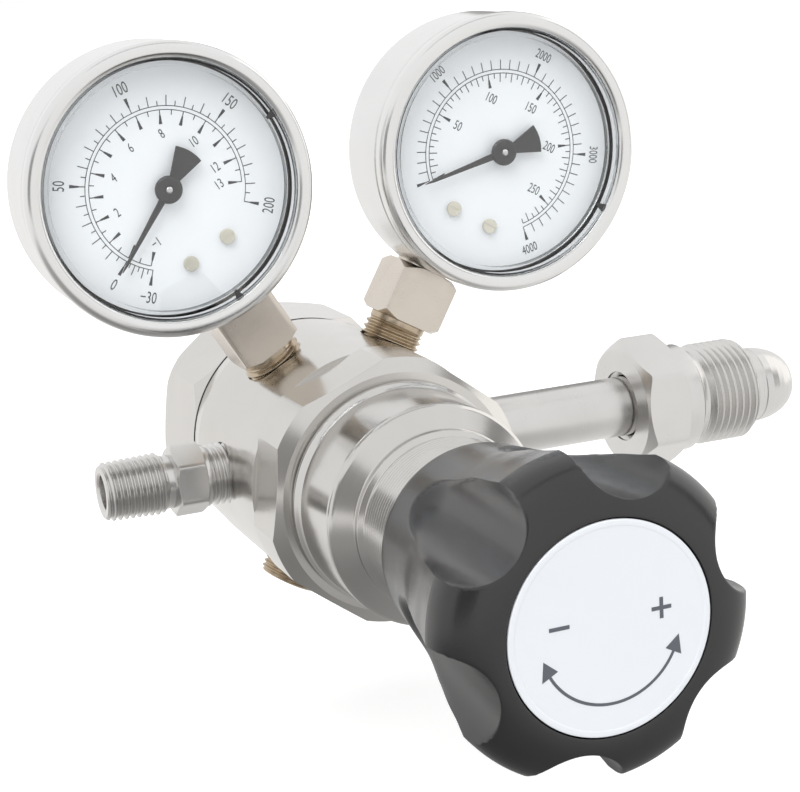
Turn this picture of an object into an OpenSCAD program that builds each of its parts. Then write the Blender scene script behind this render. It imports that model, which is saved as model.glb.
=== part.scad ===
// Two-stage specialty gas regulator for a cylinder valve, with two pressure gauges.
// Units are millimetres and +Z is up. The control knob points to -Y, the inlet to +X and the outlet to -X.
// The origin lies on the inlet axis, inside the nut that screws into the cylinder valve.
// Shapes inside the modules are written about the point where all ports meet, called the port centre.

/* [Body] */
// Radius of the round middle that carries the ports
drum_r = 28; // [27.4:0.1:28.2]
// Radius of the corners between the wrench flats in front of it
body_r = 28.8; // [28.4:0.1:29]
// Distance across the six wrench flats
body_flats = 54.2; // [53.6:0.1:55]
// Turn of the wrench flats against the ports
flats_turn = 7.5; // [0:0.5:59]
// Distance from the port centre to the rear end of the wrench flats
flats_rear = 22.5; // [20:0.5:26]
// Distance from the port centre to the front face
body_front = 36.8; // [36:0.1:37]
// Distance from the port centre to the rear joint face
body_rear = 22.9; // [21:0.1:26]
// Angle of each gauge port from the vertical
gauge_angle = 30; // [27:1:33]

/* [Rear cap] */
// Distance across the flats of the eight-sided first-stage cap
cap_flats = 54.2; // [52:0.1:55]
// Length of the cap behind the joint face
cap_length = 28; // [24:0.5:30]

/* [Bonnet] */
// Outer radius of the polished bonnet barrel
bonnet_r = 23.3; // [22:0.1:24]
// Radius of the bright front rim of the bonnet
bonnet_rim_r = 23.1; // [22:0.1:24]
// Distance from the port centre to that rim
bonnet_front = 56.4; // [54:0.1:60]
// Radius of the threaded neck
neck_r = 17.9; // [17:0.1:18]
// Distance from the port centre to the end of the neck
neck_end = 84; // [82:0.5:86]

/* [Control knob] */
// Largest radius of the knob across its lobes
knob_r = 29.8; // [28:0.1:31]
// Radius of the rear edge of the knob skirt
skirt_r = 20.2; // [19.8:0.1:21]
// Distance from the port centre to the rear edge of the skirt, knob backed off
skirt_rear = 75.8; // [75:0.1:77]
// Distance from the port centre to the front face, knob backed off
knob_front = 130; // [128:0.5:134]
// Number of lobes
lobes = 6; // [4:1:8]
// Turn of the finger scoops about the axis, from +X
scoop_turn = 20; // [0:1:59]
// Radius of the label disc
label_r = 19.05; // [16:0.05:20]
// Full travel of the adjusting screw
screw_travel = 10; // [6:0.5:10]

/* [Inlet] */
// Distance from the port centre to the origin, inside the inlet thread
inlet_reach = 100; // [96:1:104]
// Outer radius of the inlet tube
tube_r = 7.11; // [6:0.01:7.5]
// Outer radius of the inlet nut thread
inlet_thread_r = 12.25; // [12:0.01:12.5]
// Distance across the flats of the inlet nut
inlet_nut_flats = 28.6; // [28:0.1:30]
// Turn of the inlet nut as it stands
inlet_nut_turn = 45; // [0:1:59]

/* [Outlet] */
// Outer radius of the outlet thread
outlet_thread_r = 6.86; // [6.5:0.01:7]
// Bore radius of the outlet
outlet_bore_r = 3.8; // [2:0.1:4]
// Distance from the port centre to the outlet end
outlet_reach = 55.2; // [52:0.1:60]
// Distance across the flats of the outlet hexagon
outlet_hex_flats = 14.3; // [14:0.1:16]

/* [Gauges] */
// Distance from the body axis to the centre of each dial
gauge_height = 76.1; // [75:0.1:78]
// Outer radius of the gauge case
gauge_r = 30.4; // [30:0.1:31.5]
// Radius of the clear window
window_r = 26.4; // [26:0.1:26.6]
// Distance from the stem axis forward to the window
window_front = 17.5; // [16:0.1:19]
// Distance from the stem axis back to the rear of the case
case_rear = 9; // [8:0.5:11]
// Distance across the flats of the square gauge socket
socket_flats = 14.3; // [14:0.1:15]

// Angle of the left pointer at zero, clockwise from the stem's own direction
left_zero = -115; // [-135:0.1:-90]
// Angle of the right pointer at zero
right_zero = -135; // [-135:0.1:-90]

/* [Hidden] */
$fn = 72;

steel = [0.78, 0.77, 0.75];
bright = [0.88, 0.88, 0.87];
tinted = [0.66, 0.60, 0.53];
brass = [0.72, 0.58, 0.36];
black = [0.09, 0.09, 0.10];
white = [0.94, 0.95, 0.96];
clear = [0.85, 0.92, 0.95];

LEFT = -1;
RIGHT = 1;
hair = 0.02;

// Radius from which the depths of the ports are measured
port_r = 25.7;
// Tooth size of the gauge movements: pitch diameter over the number of teeth
gear_module = 0.4;
pinion_teeth = 10;
// Teeth of the full circle that each sector is cut from
sector_teeth = 60;
rim_r = 27.3;
cap_r = 29.3;
groove_r = 22.6;
ring_r = 24.2;
collar_r = 18.6;
collar_y = -60.1;
cavity_r = 14.6;
cavity_end = -74;
screw_r = 6;
ledge_y = -24;
diaphragm_t = 0.4;
spigot_r = 21;
spring_back = -27;
button_rear = -58;
button_t = 3;
ball_r = 3;
hub_rear = -98;
plug_face = 27;
nose_end = 118;

// A solid turned about the Y axis. Each point is [radius, y].
module turned(points) {
    rotate([-90, 0, 0])
        rotate_extrude()
            polygon(points);
}

// A solid turned about the X axis. Each point is [radius, x].
module turned_x(points) {
    rotate([0, 90, 0])
        rotate_extrude()
            polygon(points);
}

// A plain cylinder along Y between two stations.
module rod(r, from, to) {
    translate([0, from, 0])
        rotate([-90, 0, 0])
            cylinder(r = r, h = to - from);
}

// A plain cylinder along X between two stations.
module rod_x(r, from, to) {
    translate([from, 0, 0])
        rotate([0, 90, 0])
            cylinder(r = r, h = to - from);
}

// A bar along Y with six or eight flats. The first corner stands turn degrees up from +X.
module flat_bar(flats, from, to, turn, sides = 6) {
    translate([0, from, 0])
        rotate([-90, 0, 0])
            rotate([0, 0, -turn])
                cylinder(r = flats / 2 / cos(180 / sides), h = to - from, $fn = sides);
}

// A hexagonal bar along X.
module hex_bar_x(flats, from, to, turn = 0) {
    translate([from, 0, 0])
        rotate([turn, 0, 0])
            rotate([0, 90, 0])
                cylinder(r = flats / sqrt(3), h = to - from, $fn = 6);
}

// Moves a shape from the port centre to its place from the origin.
module placed() {
    translate([-inlet_reach, 0, 0])
        children();
}

// Turns a shape so that its +Z points out of the port at this angle from the vertical.
module out_of_port(angle) {
    rotate([0, angle, 0])
        children();
}

// A wound coil of round wire along Y, built as a closed tube that follows the helix.
module coil(mean_r, wire_r, from, to, turns) {
    per_turn = 18;
    sides = 6;
    steps = ceil(turns * per_turn);
    pitch = (to - from - 2 * wire_r) / turns;
    tilt = atan(pitch / (2 * PI * mean_r));
    ring_points = [
        for (i = [0 : steps])
            let (a = 360 * turns * i / steps)
            for (s = [0 : sides - 1])
                let (
                    b = 360 * s / sides,
                    out = wire_r * cos(b),
                    along = wire_r * sin(b)
                )
                [
                    (mean_r + out) * cos(a) + along * sin(tilt) * sin(a),
                    from + wire_r + pitch * turns * i / steps + along * cos(tilt),
                    (mean_r + out) * sin(a) - along * sin(tilt) * cos(a)
                ]
    ];
    side_faces = [
        for (i = [0 : steps - 1])
            for (s = [0 : sides - 1])
                let (t = (s + 1) % sides)
                [i * sides + s, i * sides + t, (i + 1) * sides + t, (i + 1) * sides + s]
    ];
    first_cap = [for (s = [sides - 1 : -1 : 0]) s];
    last_cap = [for (s = [0 : sides - 1]) steps * sides + s];
    polyhedron(ring_points, concat(side_faces, [first_cap, last_cap]), convexity = 10);
}

// The port block: a round drum with six wrench flats in front, bored for both stages and drilled for six ports.
module body() {
    color(bright)
        placed()
            difference() {
                union() {
                    turned([
                        [0, -flats_rear - 1], [25, -flats_rear - 1], [25, -flats_rear], [drum_r, -flats_rear],
                        [drum_r, 17.5], [rim_r, body_rear], [0, body_rear]
                    ]);
                    intersection() {
                        flat_bar(body_flats, -body_front - 1, -flats_rear, 30 - flats_turn);
                        turned([
                            [0, -body_front], [25.9, -body_front], [body_r, -body_front + 1.7],
                            [body_r, -flats_rear], [0, -flats_rear]
                        ]);
                    }
                }
                // Front chamber, ledge for the diaphragm and seat bore
                rod(spigot_r, -body_front - 1, ledge_y);
                rod(15, ledge_y - 1, -19);
                rod(7, -20, -6);
                // Rear chamber, ledge and seat bore
                rod(19, 15, body_rear + 1);
                rod(13, 11, 16);
                rod(6, 4.5, 12);
                // Passage between the stages
                rod(1.5, -7, 5);
                // Outlet port and the drilling that feeds it from the front chamber
                rod_x(outlet_thread_r, -body_r - 1, -port_r + 12);
                rod_x(2.2, -port_r + 11, -10);
                translate([-11.5, 0, 0])
                    rod(1.6, -20, 0);
                // Inlet port and the drilling that feeds the rear chamber
                rod_x(tube_r + hair, port_r - 9, body_r + 1);
                rod_x(2.2, 10, port_r - 8);
                translate([11, 0, 0])
                    rod(1.4, 0, 12);
                // Gauge ports: outlet pressure on the left, inlet pressure on the right
                for (side = [LEFT, RIGHT])
                    out_of_port(side * gauge_angle) {
                        translate([0, 0, port_r - 11])
                            cylinder(r = outlet_thread_r, h = 15);
                        translate([0, 0, 8])
                            cylinder(r = 1.2, h = 7);
                    }
                // Lower plugged port with a spot face
                out_of_port(-150) {
                    translate([0, -3, port_r - 8])
                        cylinder(r = 5, h = 12);
                    translate([0, -3, plug_face])
                        cylinder(r = 7.1, h = 3);
                }
            }
}

// The first-stage cap: eight flats, chamfered at both ends.
module rear_cap() {
    far = body_rear + cap_length;
    color(steel)
        placed()
            difference() {
                intersection() {
                    flat_bar(cap_flats, body_rear, far + 1, 15, 8);
                    turned([
                        [0, body_rear], [rim_r, body_rear], [cap_r, body_rear + 3], [cap_r, far - 6],
                        [cap_r - 1.2, far - 2.8], [cap_r - 4, far - 0.5], [cap_r - 6, far], [0, far]
                    ]);
                }
                rod(13, body_rear - 1, far - 6);
                rod(4, far - 7, far + 1);
            }
    // The spigot that screws into the body and clamps the first-stage diaphragm
    color(steel)
        placed()
            difference() {
                rod(18.9, 15 + diaphragm_t, body_rear);
                rod(13, 14, body_rear + 1);
            }
}

// The front bonnet: spigot in the body, polished barrel with two rings, cone and threaded neck.
module bonnet() {
    color(bright)
        placed()
            turned([
                [cavity_r, ledge_y - diaphragm_t], [spigot_r - 0.1, ledge_y - diaphragm_t],
                [spigot_r - 0.1, -body_front], [groove_r, -body_front], [groove_r, -37.2],
                [ring_r, -37.4], [ring_r, -39.1], [bonnet_r, -39.9], [bonnet_r - 0.2, -54.8],
                [bonnet_rim_r, -55.4], [bonnet_rim_r, -bonnet_front], [bonnet_rim_r - 0.7, -bonnet_front - 0.4],
                [collar_r, -58.6], [collar_r, collar_y], [neck_r, collar_y - 0.4],
                [neck_r, -neck_end + 1], [neck_r - 1, -neck_end], [screw_r + 0.05, -neck_end],
                [screw_r + 0.05, cavity_end], [cavity_r, cavity_end]
            ]);
}

// Thin metal diaphragm of the second stage.
module front_diaphragm() {
    color(steel)
        placed()
            rod(20.6, ledge_y - diaphragm_t, ledge_y);
}

// Plate that carries the range spring on the diaphragm.
module front_plate() {
    back = ledge_y - diaphragm_t;
    color(steel)
        placed()
            turned([
                [0, back], [13, back], [13, spring_back], [9, spring_back], [9, spring_back - 2],
                [0, spring_back - 2]
            ]);
}

// Range spring, relaxed with the knob backed off.
module range_spring() {
    color(steel)
        placed()
            coil(11.4, 1.3, button_rear, spring_back, 6.5);
}

// Upper spring button, with a cup for the thrust ball.
module spring_button() {
    color(brass)
        placed()
            difference() {
                turned([
                    [0, button_rear + 2], [9, button_rear + 2], [9, button_rear], [13.6, button_rear],
                    [13.6, button_rear - button_t], [7, button_rear - button_t], [0, button_rear - button_t]
                ]);
                translate([0, button_rear - button_t - 0.6, 0])
                    sphere(r = ball_r + hair);
            }
}

// Hardened ball between the screw and the button.
module thrust_ball() {
    color(bright)
        placed()
            translate([0, button_rear - button_t - 0.6, 0])
                sphere(r = ball_r);
}

// Adjusting screw: it turns in the neck and presses the ball.
module adjusting_screw() {
    ball = button_rear - button_t - 0.6;
    color(steel)
        placed()
            difference() {
                turned([
                    [0, ball - 1], [4.2, ball - 1], [screw_r, ball - 3], [screw_r, -118], [0, -118]
                ]);
                translate([0, ball, 0])
                    sphere(r = ball_r + hair);
            }
}

// Control knob: a bell-shaped turned form with finger scoops cut along the axis.
module knob() {
    color(black)
        placed()
            difference() {
                turned([
                    [0, hub_rear], [neck_r + 0.6, hub_rear], [neck_r + 0.6, -skirt_rear - 1],
                    [neck_r + 0.9, -skirt_rear], [skirt_r, -skirt_rear], [skirt_r + 0.6, -skirt_rear - 1],
                    [skirt_r + 2, -95], [knob_r - 4.4, -103], [knob_r - 1.2, -111], [knob_r, -117],
                    [knob_r - 0.6, -knob_front + 6],
                    for (a = [0 : 15 : 90]) [knob_r - 4.6 + 3.4 * cos(a), -knob_front + 3.4 - 3.4 * sin(a)],
                    [label_r + 0.25, -knob_front], [label_r + 0.25, -knob_front + 0.9], [0, -knob_front + 0.9]
                ]);
                for (i = [0 : lobes - 1])
                    rotate([0, -scoop_turn - 360 / lobes * i, 0])
                        translate([42.5, 0, 0])
                            rod(20, -knob_front - 1, -skirt_rear + 1);
                rod(9, -118.5, hub_rear + 1);
            }
}

// Brass insert moulded into the knob and fixed on the screw.
module knob_insert() {
    color(brass)
        placed()
            difference() {
                rod(9 - hair, -118.5, hub_rear);
                rod(screw_r + hair, -118, hub_rear + 1);
            }
}

// Plain label disc in the face of the knob.
module knob_label() {
    color(white)
        placed()
            rod(label_r, -knob_front - 0.1, -knob_front + 0.9);
}

// Second-stage seat bush.
module front_seat() {
    color(brass)
        placed()
            difference() {
                turned([[0, -19], [6.95, -19], [6.95, -6.2], [0, -6.2]]);
                rod(2.6, -20, -13);
                rod(4.6, -11.4, -6);
                rod(1.9, -14, -10);
            }
}

// Second-stage valve pin: its stem reaches up to the diaphragm.
module front_poppet() {
    color(steel)
        placed()
            turned([
                [0, ledge_y + 0.05], [1.2, ledge_y + 0.05], [1.2, -11.38], [3.4, -11.38], [3.4, -8.8],
                [1.2, -8.8], [1.2, -8.4], [0, -8.4]
            ]);
}

// Light spring that closes the second-stage valve.
module front_poppet_spring() {
    color(steel)
        placed()
            coil(2.6, 0.3, -8.75, -6.2, 3);
}

// Thin metal diaphragm of the first stage.
module rear_diaphragm() {
    color(steel)
        placed()
            rod(18.6, 15, 15 + diaphragm_t);
}

// Spring plate on the first-stage diaphragm.
module rear_plate() {
    front = 15 + diaphragm_t;
    color(steel)
        placed()
            turned([[0, front], [12, front], [12, front + 2], [7, front + 2], [7, front + 4], [0, front + 4]]);
}

// Fixed spring of the first stage.
module rear_spring() {
    color(steel)
        placed()
            coil(9.4, 1.6, 15 + diaphragm_t + 2, body_rear + cap_length - 9, 5);
}

// Set screw that fixes the first-stage spring load, with its pressure disc.
module rear_set_screw() {
    far = body_rear + cap_length;
    color(steel)
        placed()
            difference() {
                turned([
                    [0, far - 9], [11.5, far - 9], [11.5, far - 6.5], [4 - hair, far - 6.5], [4 - hair, far - 1.5],
                    [0, far - 1.5]
                ]);
                flat_bar(4, far - 4.5, far, 30);
            }
}

// First-stage seat bush.
module rear_seat() {
    color(brass)
        placed()
            difference() {
                rod(5.95, 4.7, 11);
                rod(2.2, 8.5, 12);
                rod(1.6, 7.5, 9);
                rod(3.6, 4, 7.6);
            }
}

// First-stage valve pin.
module rear_poppet() {
    color(steel)
        placed()
            turned([[0, 5.6], [2.8, 5.6], [2.8, 7.58], [1, 7.58], [1, 14.95], [0, 14.95]]);
}

// Light spring that closes the first-stage valve.
module rear_poppet_spring() {
    color(steel)
        placed()
            coil(2.2, 0.25, 4.7, 5.6, 1);
}

// Inlet tube and bullet nose in one piece: the nut draws the nose into the cylinder valve.
module inlet_nipple() {
    color(bright)
        placed()
            difference() {
                turned_x([
                    [0, port_r - 9], [tube_r, port_r - 9], [tube_r, 100.5], [9.3, 102.5], [9.3, 107.2],
                    [8.9, 107.4], [8.9, 108.2],
                    for (a = [0 : 10 : 60]) [2.2 + 6.9 * cos(a), 108.4 + 10.4 * sin(a)],
                    [4.6, nose_end], [0, nose_end]
                ]);
                rod_x(1.9, port_r - 10, 112);
                rod_x(2.6, 111, nose_end + 1);
            }
}

// Inlet nut: free on the tube, hexagon at the back and a male thread in front.
module inlet_nut() {
    color(steel)
        placed()
            difference() {
                union() {
                    intersection() {
                        hex_bar_x(inlet_nut_flats, 72.6, 84, inlet_nut_turn);
                        turned_x([[0, 72.6], [14.6, 72.6], [16.6, 74.2], [16.6, 82.2], [14.6, 84], [0, 84]]);
                    }
                    turned_x([
                        [0, 83.5], [12.9, 83.5], [12.9, 88.6], [11.5, 89.6], [11.5, 91], [inlet_thread_r, 91.8],
                        [inlet_thread_r, 103.6], [11.3, 104.7], [0, 104.7]
                    ]);
                }
                turned_x([
                    [0, 71], [8.4, 71], [8.4, 73.2], [tube_r + 0.3, 74], [tube_r + 0.3, 100.2], [9.7, 102.6],
                    [9.7, 106], [0, 106]
                ]);
            }
}

// Sintered filter pressed into the mouth of the nose.
module inlet_filter() {
    color(tinted)
        placed()
            rod_x(2.6 - hair, 111.5, nose_end - 1);
}

// Outlet nipple: a male thread on both sides of a hexagon, with a through bore.
module outlet_nipple() {
    seat = -port_r + 11;
    color(steel)
        placed()
            difference() {
                union() {
                    turned_x([
                        [0, -outlet_reach], [5.6, -outlet_reach], [outlet_thread_r, -outlet_reach + 2],
                        [outlet_thread_r, -42], [5.9, -41.2], [5.9, -39.4], [6.9, -39.4], [6.9, -31.6],
                        [outlet_thread_r - hair, -31.4], [outlet_thread_r - hair, seat], [0, seat]
                    ]);
                    intersection() {
                        hex_bar_x(outlet_hex_flats, -39.6, -32.8, 8);
                        turned_x([[0, -39.6], [7.2, -39.6], [8.3, -38.6], [8.3, -33.8], [7.2, -32.8], [0, -32.8]]);
                    }
                }
                rod_x(outlet_bore_r, -outlet_reach - 1, seat + 1);
            }
}

// Threaded plug in the lower port.
module port_plug() {
    color(brass)
        placed()
            out_of_port(-150)
                translate([0, -3, plug_face])
                    difference() {
                        union() {
                            translate([0, 0, -9])
                                cylinder(r = 5 - hair, h = 9.5);
                            translate([0, 0, hair])
                                cylinder(r = 6.8, h = 3.6);
                        }
                        translate([0, 0, 0.4])
                            cylinder(r = 3.2, h = 5, $fn = 6);
                    }
}

// Places a gauge part: +Z runs up the stem from the body axis and the dial faces -Y.
module on_gauge(side) {
    placed()
        out_of_port(side * gauge_angle)
            children();
}

// Places a part about the dial centre of a gauge.
module at_dial(side) {
    on_gauge(side)
        translate([0, 0, gauge_height])
            children();
}

// Round steel case, open at the front, with a hole below for the socket.
module gauge_case(side) {
    color(bright)
        at_dial(side)
            difference() {
                turned([
                    [0, case_rear],
                    for (a = [90 : -15 : 0]) [gauge_r - 9.2 + 9 * cos(a), case_rear - 9 + 9 * sin(a)],
                    [gauge_r - 0.2, -15], [gauge_r - 1.2, -15],
                    for (a = [0 : 15 : 90]) [gauge_r - 9.2 + 8 * cos(a), case_rear - 9 + 8 * sin(a)],
                    [0, case_rear - 1]
                ]);
                translate([-6.2, -6.2, -gauge_r - 1])
                    cube([12.4, 12.4, 6]);
            }
}

// Polished ring that closes the front of the case around the window.
module gauge_bezel(side) {
    color(bright)
        at_dial(side)
            turned([
                [gauge_r - 1.2, -12], [gauge_r - 1.2, -15], [gauge_r, -15], [gauge_r, -18],
                [gauge_r - 0.8, -18.8], [window_r + 1.4, -18.8], [window_r + 0.1, -18.2],
                [window_r + 0.1, -15], [gauge_r - 1.7, -15], [gauge_r - 1.7, -12]
            ]);
}

// Clear snap-in window.
module gauge_window(side) {
    color(clear)
        at_dial(side)
            difference() {
                turned([
                    [0, -window_front], [window_r, -window_front], [window_r, -15], [28.3, -15], [28.3, -13.8],
                    [0, -13.8]
                ]);
                rod(25.2, -window_front + 1.4, -13);
            }
}

// Flat dial plate.
module gauge_dial(side) {
    color(white)
        at_dial(side)
            difference() {
                rod(26.2, -12.6, -11.8);
                rod(1.6, -13, -11);
                for (x = [-4.8, 4.8])
                    translate([x, 0, -15.8])
                        rod(0.9, -13, -11);
            }
}

// Two small screws that hold the dial on the movement frame.
module gauge_dial_screws(side) {
    color(brass)
        at_dial(side)
            for (x = [-4.8, 4.8])
                translate([x, 0, -15.8])
                    difference() {
                        union() {
                            rod(1.6, -13.4, -12.6);
                            rod(0.9 - hair, -12.8, -8.3);
                        }
                        translate([-2, -14, -0.2])
                            cube([4, 0.9, 0.4]);
                    }
}

// Pointer with its hub, counterweight tail, arbor and pinion.
module gauge_pointer(side, rest) {
    color(black)
        at_dial(side) {
            rod(2.9, -15, -14);
            rod(0.9, -15.3, -0.6);
            // Needle, long and narrow, and its fan-shaped tail
            rotate([0, rest, 0])
                translate([0, -14, 0])
                    rotate([90, 0, 0])
                        linear_extrude(0.4) {
                            polygon([[-1.1, 2], [-0.35, 19.6], [0.35, 19.6], [1.1, 2]]);
                            polygon([
                                [-1, -2], for (a = [-20 : 8 : 20]) [9.1 * sin(a), -9.1 * cos(a)], [1, -2]
                            ]);
                        }
            // Pinion between the frame plates, with a gap facing the sector
            translate([0, -4.6, 0])
                rotate([90, 0, 0])
                    linear_extrude(1.6)
                        gear_shape(pinion_teeth, 0.5);
        }
}

// Outline of a small gear with straight-sided teeth, phase in teeth.
module gear_shape(teeth, phase) {
    pitch_r = gear_module * teeth / 2;
    root = pitch_r - 0.5;
    tip = pitch_r + 0.3;
    step = 360 / teeth;
    polygon([
        for (i = [0 : teeth - 1])
            for (p = [[-0.27, root], [-0.12, tip], [0.12, tip], [0.27, root]])
                let (a = (i + phase + p[0]) * step)
                [p[1] * sin(a), p[1] * cos(a)]
    ]);
}

// Brass socket: thread in the body, square for the spanner and the block that carries the movement.
module gauge_socket(side) {
    square_from = side == LEFT ? 31 : 33.2;
    color(tinted)
        on_gauge(side)
            difference() {
                union() {
                    translate([0, 0, port_r - 11])
                        cylinder(r = outlet_thread_r - hair, h = square_from - port_r + 10);
                    translate([0, 0, square_from - 1.4])
                        cylinder(r = 6.4, h = 1.6);
                    intersection() {
                        translate([-socket_flats / 2, -socket_flats / 2, square_from])
                            cube([socket_flats, socket_flats, 45.9 - square_from]);
                        translate([0, 0, square_from])
                            cylinder(r1 = 8.8, r2 = 14, h = 5.2);
                    }
                    translate([-socket_flats / 2, -socket_flats / 2, square_from + 3])
                        cube([socket_flats, socket_flats, 41.6 - square_from]);
                    translate([0, 0, 44])
                        cylinder(r = 6, h = 5);
                    translate([-6.5, -0.4, 48.5])
                        cube([13, 6, 8]);
                }
                translate([0, 0, port_r - 12])
                    cylinder(r = 1.4, h = 38);
            }
}

// C-shaped pressure tube, fixed in the socket block and free at its tip.
module gauge_bourdon_tube(side) {
    color(brass)
        at_dial(side)
            translate([0, 1.5, 0]) {
                rotate([90, 0, 0])
                    rotate([0, 0, 7])
                        rotate_extrude(angle = 245)
                            translate([20.5, 0])
                                circle(r = 1.9, $fn = 24);
                // End piece at the free tip
                rotate([0, -7, 0])
                    translate([18.2, -1.9, -2])
                        cube([4.6, 3.8, 2.4]);
            }
}

// Two plates and four pillars that hold the arbor and the sector pivot.
module gauge_movement_frame(side) {
    color(brass)
        at_dial(side) {
            for (y = [-9.4, -1.6])
                difference() {
                    translate([-7, y, y < -5 ? -19.5 : -25])
                        cube([14, 1.2, y < -5 ? 24 : 29.5]);
                    rod(1.0, y - 1, y + 2);
                    translate([0, 0, -14])
                        rod(1.0, y - 1, y + 2);
                    for (x = [-4.8, 4.8])
                        translate([x, 0, -15.8])
                            rod(0.9, y - 1, y + 2);
                }
            for (x = [-5.6, 5.6])
                translate([x, 0, 2.6])
                    rod(1.1, -8.2, -1.6);
            for (x = [-5.6, 5.6])
                translate([x, 0, -18.3])
                    rod(1.0, -8.2, -1.6);
        }
}

// Toothed sector on its own shaft. Its teeth mesh with the pinion at the dial centre.
module gauge_sector(side) {
    pitch_r = gear_module * sector_teeth / 2;
    step = 360 / sector_teeth;
    color(brass)
        at_dial(side)
            translate([0, 0, -14])
                difference() {
                    union() {
                        rod(0.92, -9.2, -0.6);
                        translate([0, -4.6, 0])
                            rotate([90, 0, 0])
                                linear_extrude(1.2)
                                    polygon([
                                        [-1.6, -1.6],
                                        for (i = [-2 : 9])
                                            for (p = [[-0.27, -0.5], [-0.13, 0.3], [0.13, 0.3], [0.27, -0.5]])
                                                let (a = (i + p[0]) * step, r = pitch_r + p[1])
                                                [r * sin(a), r * cos(a)],
                                        [1.8, 0]
                                    ]);
                        // Tail arm to the link
                        translate([-1.5, -5.8, -5.4])
                            cube([3, 1.2, 6]);
                    }
                    translate([0, 0, -4])
                        rod(0.6, -7, -3);
                }
}

// Link from the tail of the sector to the tube tip, with a pin at each end.
module gauge_link(side) {
    slope = 44;
    length = 25.9;
    color(steel)
        at_dial(side)
            translate([0, 0, -18]) {
                rod(0.55, -6.8, -3.2);
                rotate([0, -slope, 0]) {
                    translate([0, -7.2, -0.8])
                        cube([length, 0.8, 1.6]);
                    translate([length, 0, 0])
                        rod(0.55, -6.8, -0.8);
                }
            }
}

body();
rear_cap();
bonnet();
front_diaphragm();
front_plate();
range_spring();
spring_button();
thrust_ball();
adjusting_screw();
knob();
knob_insert();
knob_label();
front_seat();
front_poppet();
front_poppet_spring();
rear_diaphragm();
rear_plate();
rear_spring();
rear_set_screw();
rear_seat();
rear_poppet();
rear_poppet_spring();
inlet_nipple();
inlet_nut();
inlet_filter();
outlet_nipple();
port_plug();
gauge_case(LEFT);  // left_case
gauge_bezel(LEFT);  // left_bezel
gauge_window(LEFT);  // left_window
gauge_dial(LEFT);  // left_dial
gauge_dial_screws(LEFT);  // left_dial_screws
gauge_pointer(LEFT, left_zero);  // left_pointer
gauge_socket(LEFT);  // left_socket
gauge_bourdon_tube(LEFT);  // left_bourdon_tube
gauge_movement_frame(LEFT);  // left_movement_frame
gauge_sector(LEFT);  // left_sector
gauge_link(LEFT);  // left_link
gauge_case(RIGHT);  // right_case
gauge_bezel(RIGHT);  // right_bezel
gauge_window(RIGHT);  // right_window
gauge_dial(RIGHT);  // right_dial
gauge_dial_screws(RIGHT);  // right_dial_screws
gauge_pointer(RIGHT, right_zero);  // right_pointer
gauge_socket(RIGHT);  // right_socket
gauge_bourdon_tube(RIGHT);  // right_bourdon_tube
gauge_movement_frame(RIGHT);  // right_movement_frame
gauge_sector(RIGHT);  // right_sector
gauge_link(RIGHT);  // right_link
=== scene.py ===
"""Looks of a two-stage specialty gas regulator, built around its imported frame.

The part's sizes are in millimetres and turned into metres where a mesh is made. The studio's are in metres.
The control knob's axis runs along -Y, the inlet along +X and the outlet along -X. Pieces with a helical
thread, a moulded form or printed marks replace their plain nodes. The other nodes stay and get a material.
"""

import logging
import math
from dataclasses import dataclass, field, replace
from enum import Enum
from typing import Callable, Iterable, Sequence

import bmesh
import bpy
from bpy.types import Material, Node, NodeSocket, NodeTree, Object
from mathutils import Matrix, Vector


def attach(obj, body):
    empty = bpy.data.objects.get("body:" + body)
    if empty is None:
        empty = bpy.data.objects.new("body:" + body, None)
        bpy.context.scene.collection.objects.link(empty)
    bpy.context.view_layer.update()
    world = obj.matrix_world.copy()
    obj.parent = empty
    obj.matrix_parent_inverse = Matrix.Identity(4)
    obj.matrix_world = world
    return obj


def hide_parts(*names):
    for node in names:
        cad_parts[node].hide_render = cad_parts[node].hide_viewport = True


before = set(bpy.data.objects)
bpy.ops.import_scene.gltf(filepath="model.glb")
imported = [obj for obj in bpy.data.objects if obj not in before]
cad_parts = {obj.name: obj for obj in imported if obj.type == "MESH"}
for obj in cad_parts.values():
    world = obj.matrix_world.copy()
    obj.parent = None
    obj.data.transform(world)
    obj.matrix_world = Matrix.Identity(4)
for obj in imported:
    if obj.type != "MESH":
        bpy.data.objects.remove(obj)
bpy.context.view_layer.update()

log = logging.getLogger("regulator")

MM = 0.001
TAU = 2 * math.pi
PORT_CENTRE = (-100.0, 0.0, 0.0)
PORT_FLOOR = 14.7
PORT_MOUTH = 26.8
PIPE_PITCH = 1.411
STEM_LEAN = 30.0
GAUGE_HEIGHT = 76.1
PLUG_LEAN = -150.0
PLUG_Y = -3.0
DIGIT_RISE = 0.72
DIGIT_NARROW = 0.66

Pair = tuple[float, float]
Profile = Sequence[Pair]
Rgb = tuple[float, float, float]


class Side(Enum):
    """The two gauges, as their stems lean when seen from the knob."""

    LEFT = -1
    RIGHT = 1

    @property
    def word(self) -> str:
        """The name that the nodes of this gauge start with."""
        return self.name.lower()


class Role(Enum):
    """What a reflector card or lamp is for."""

    FLAG = "flag"
    LAMP = "lamp"


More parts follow.
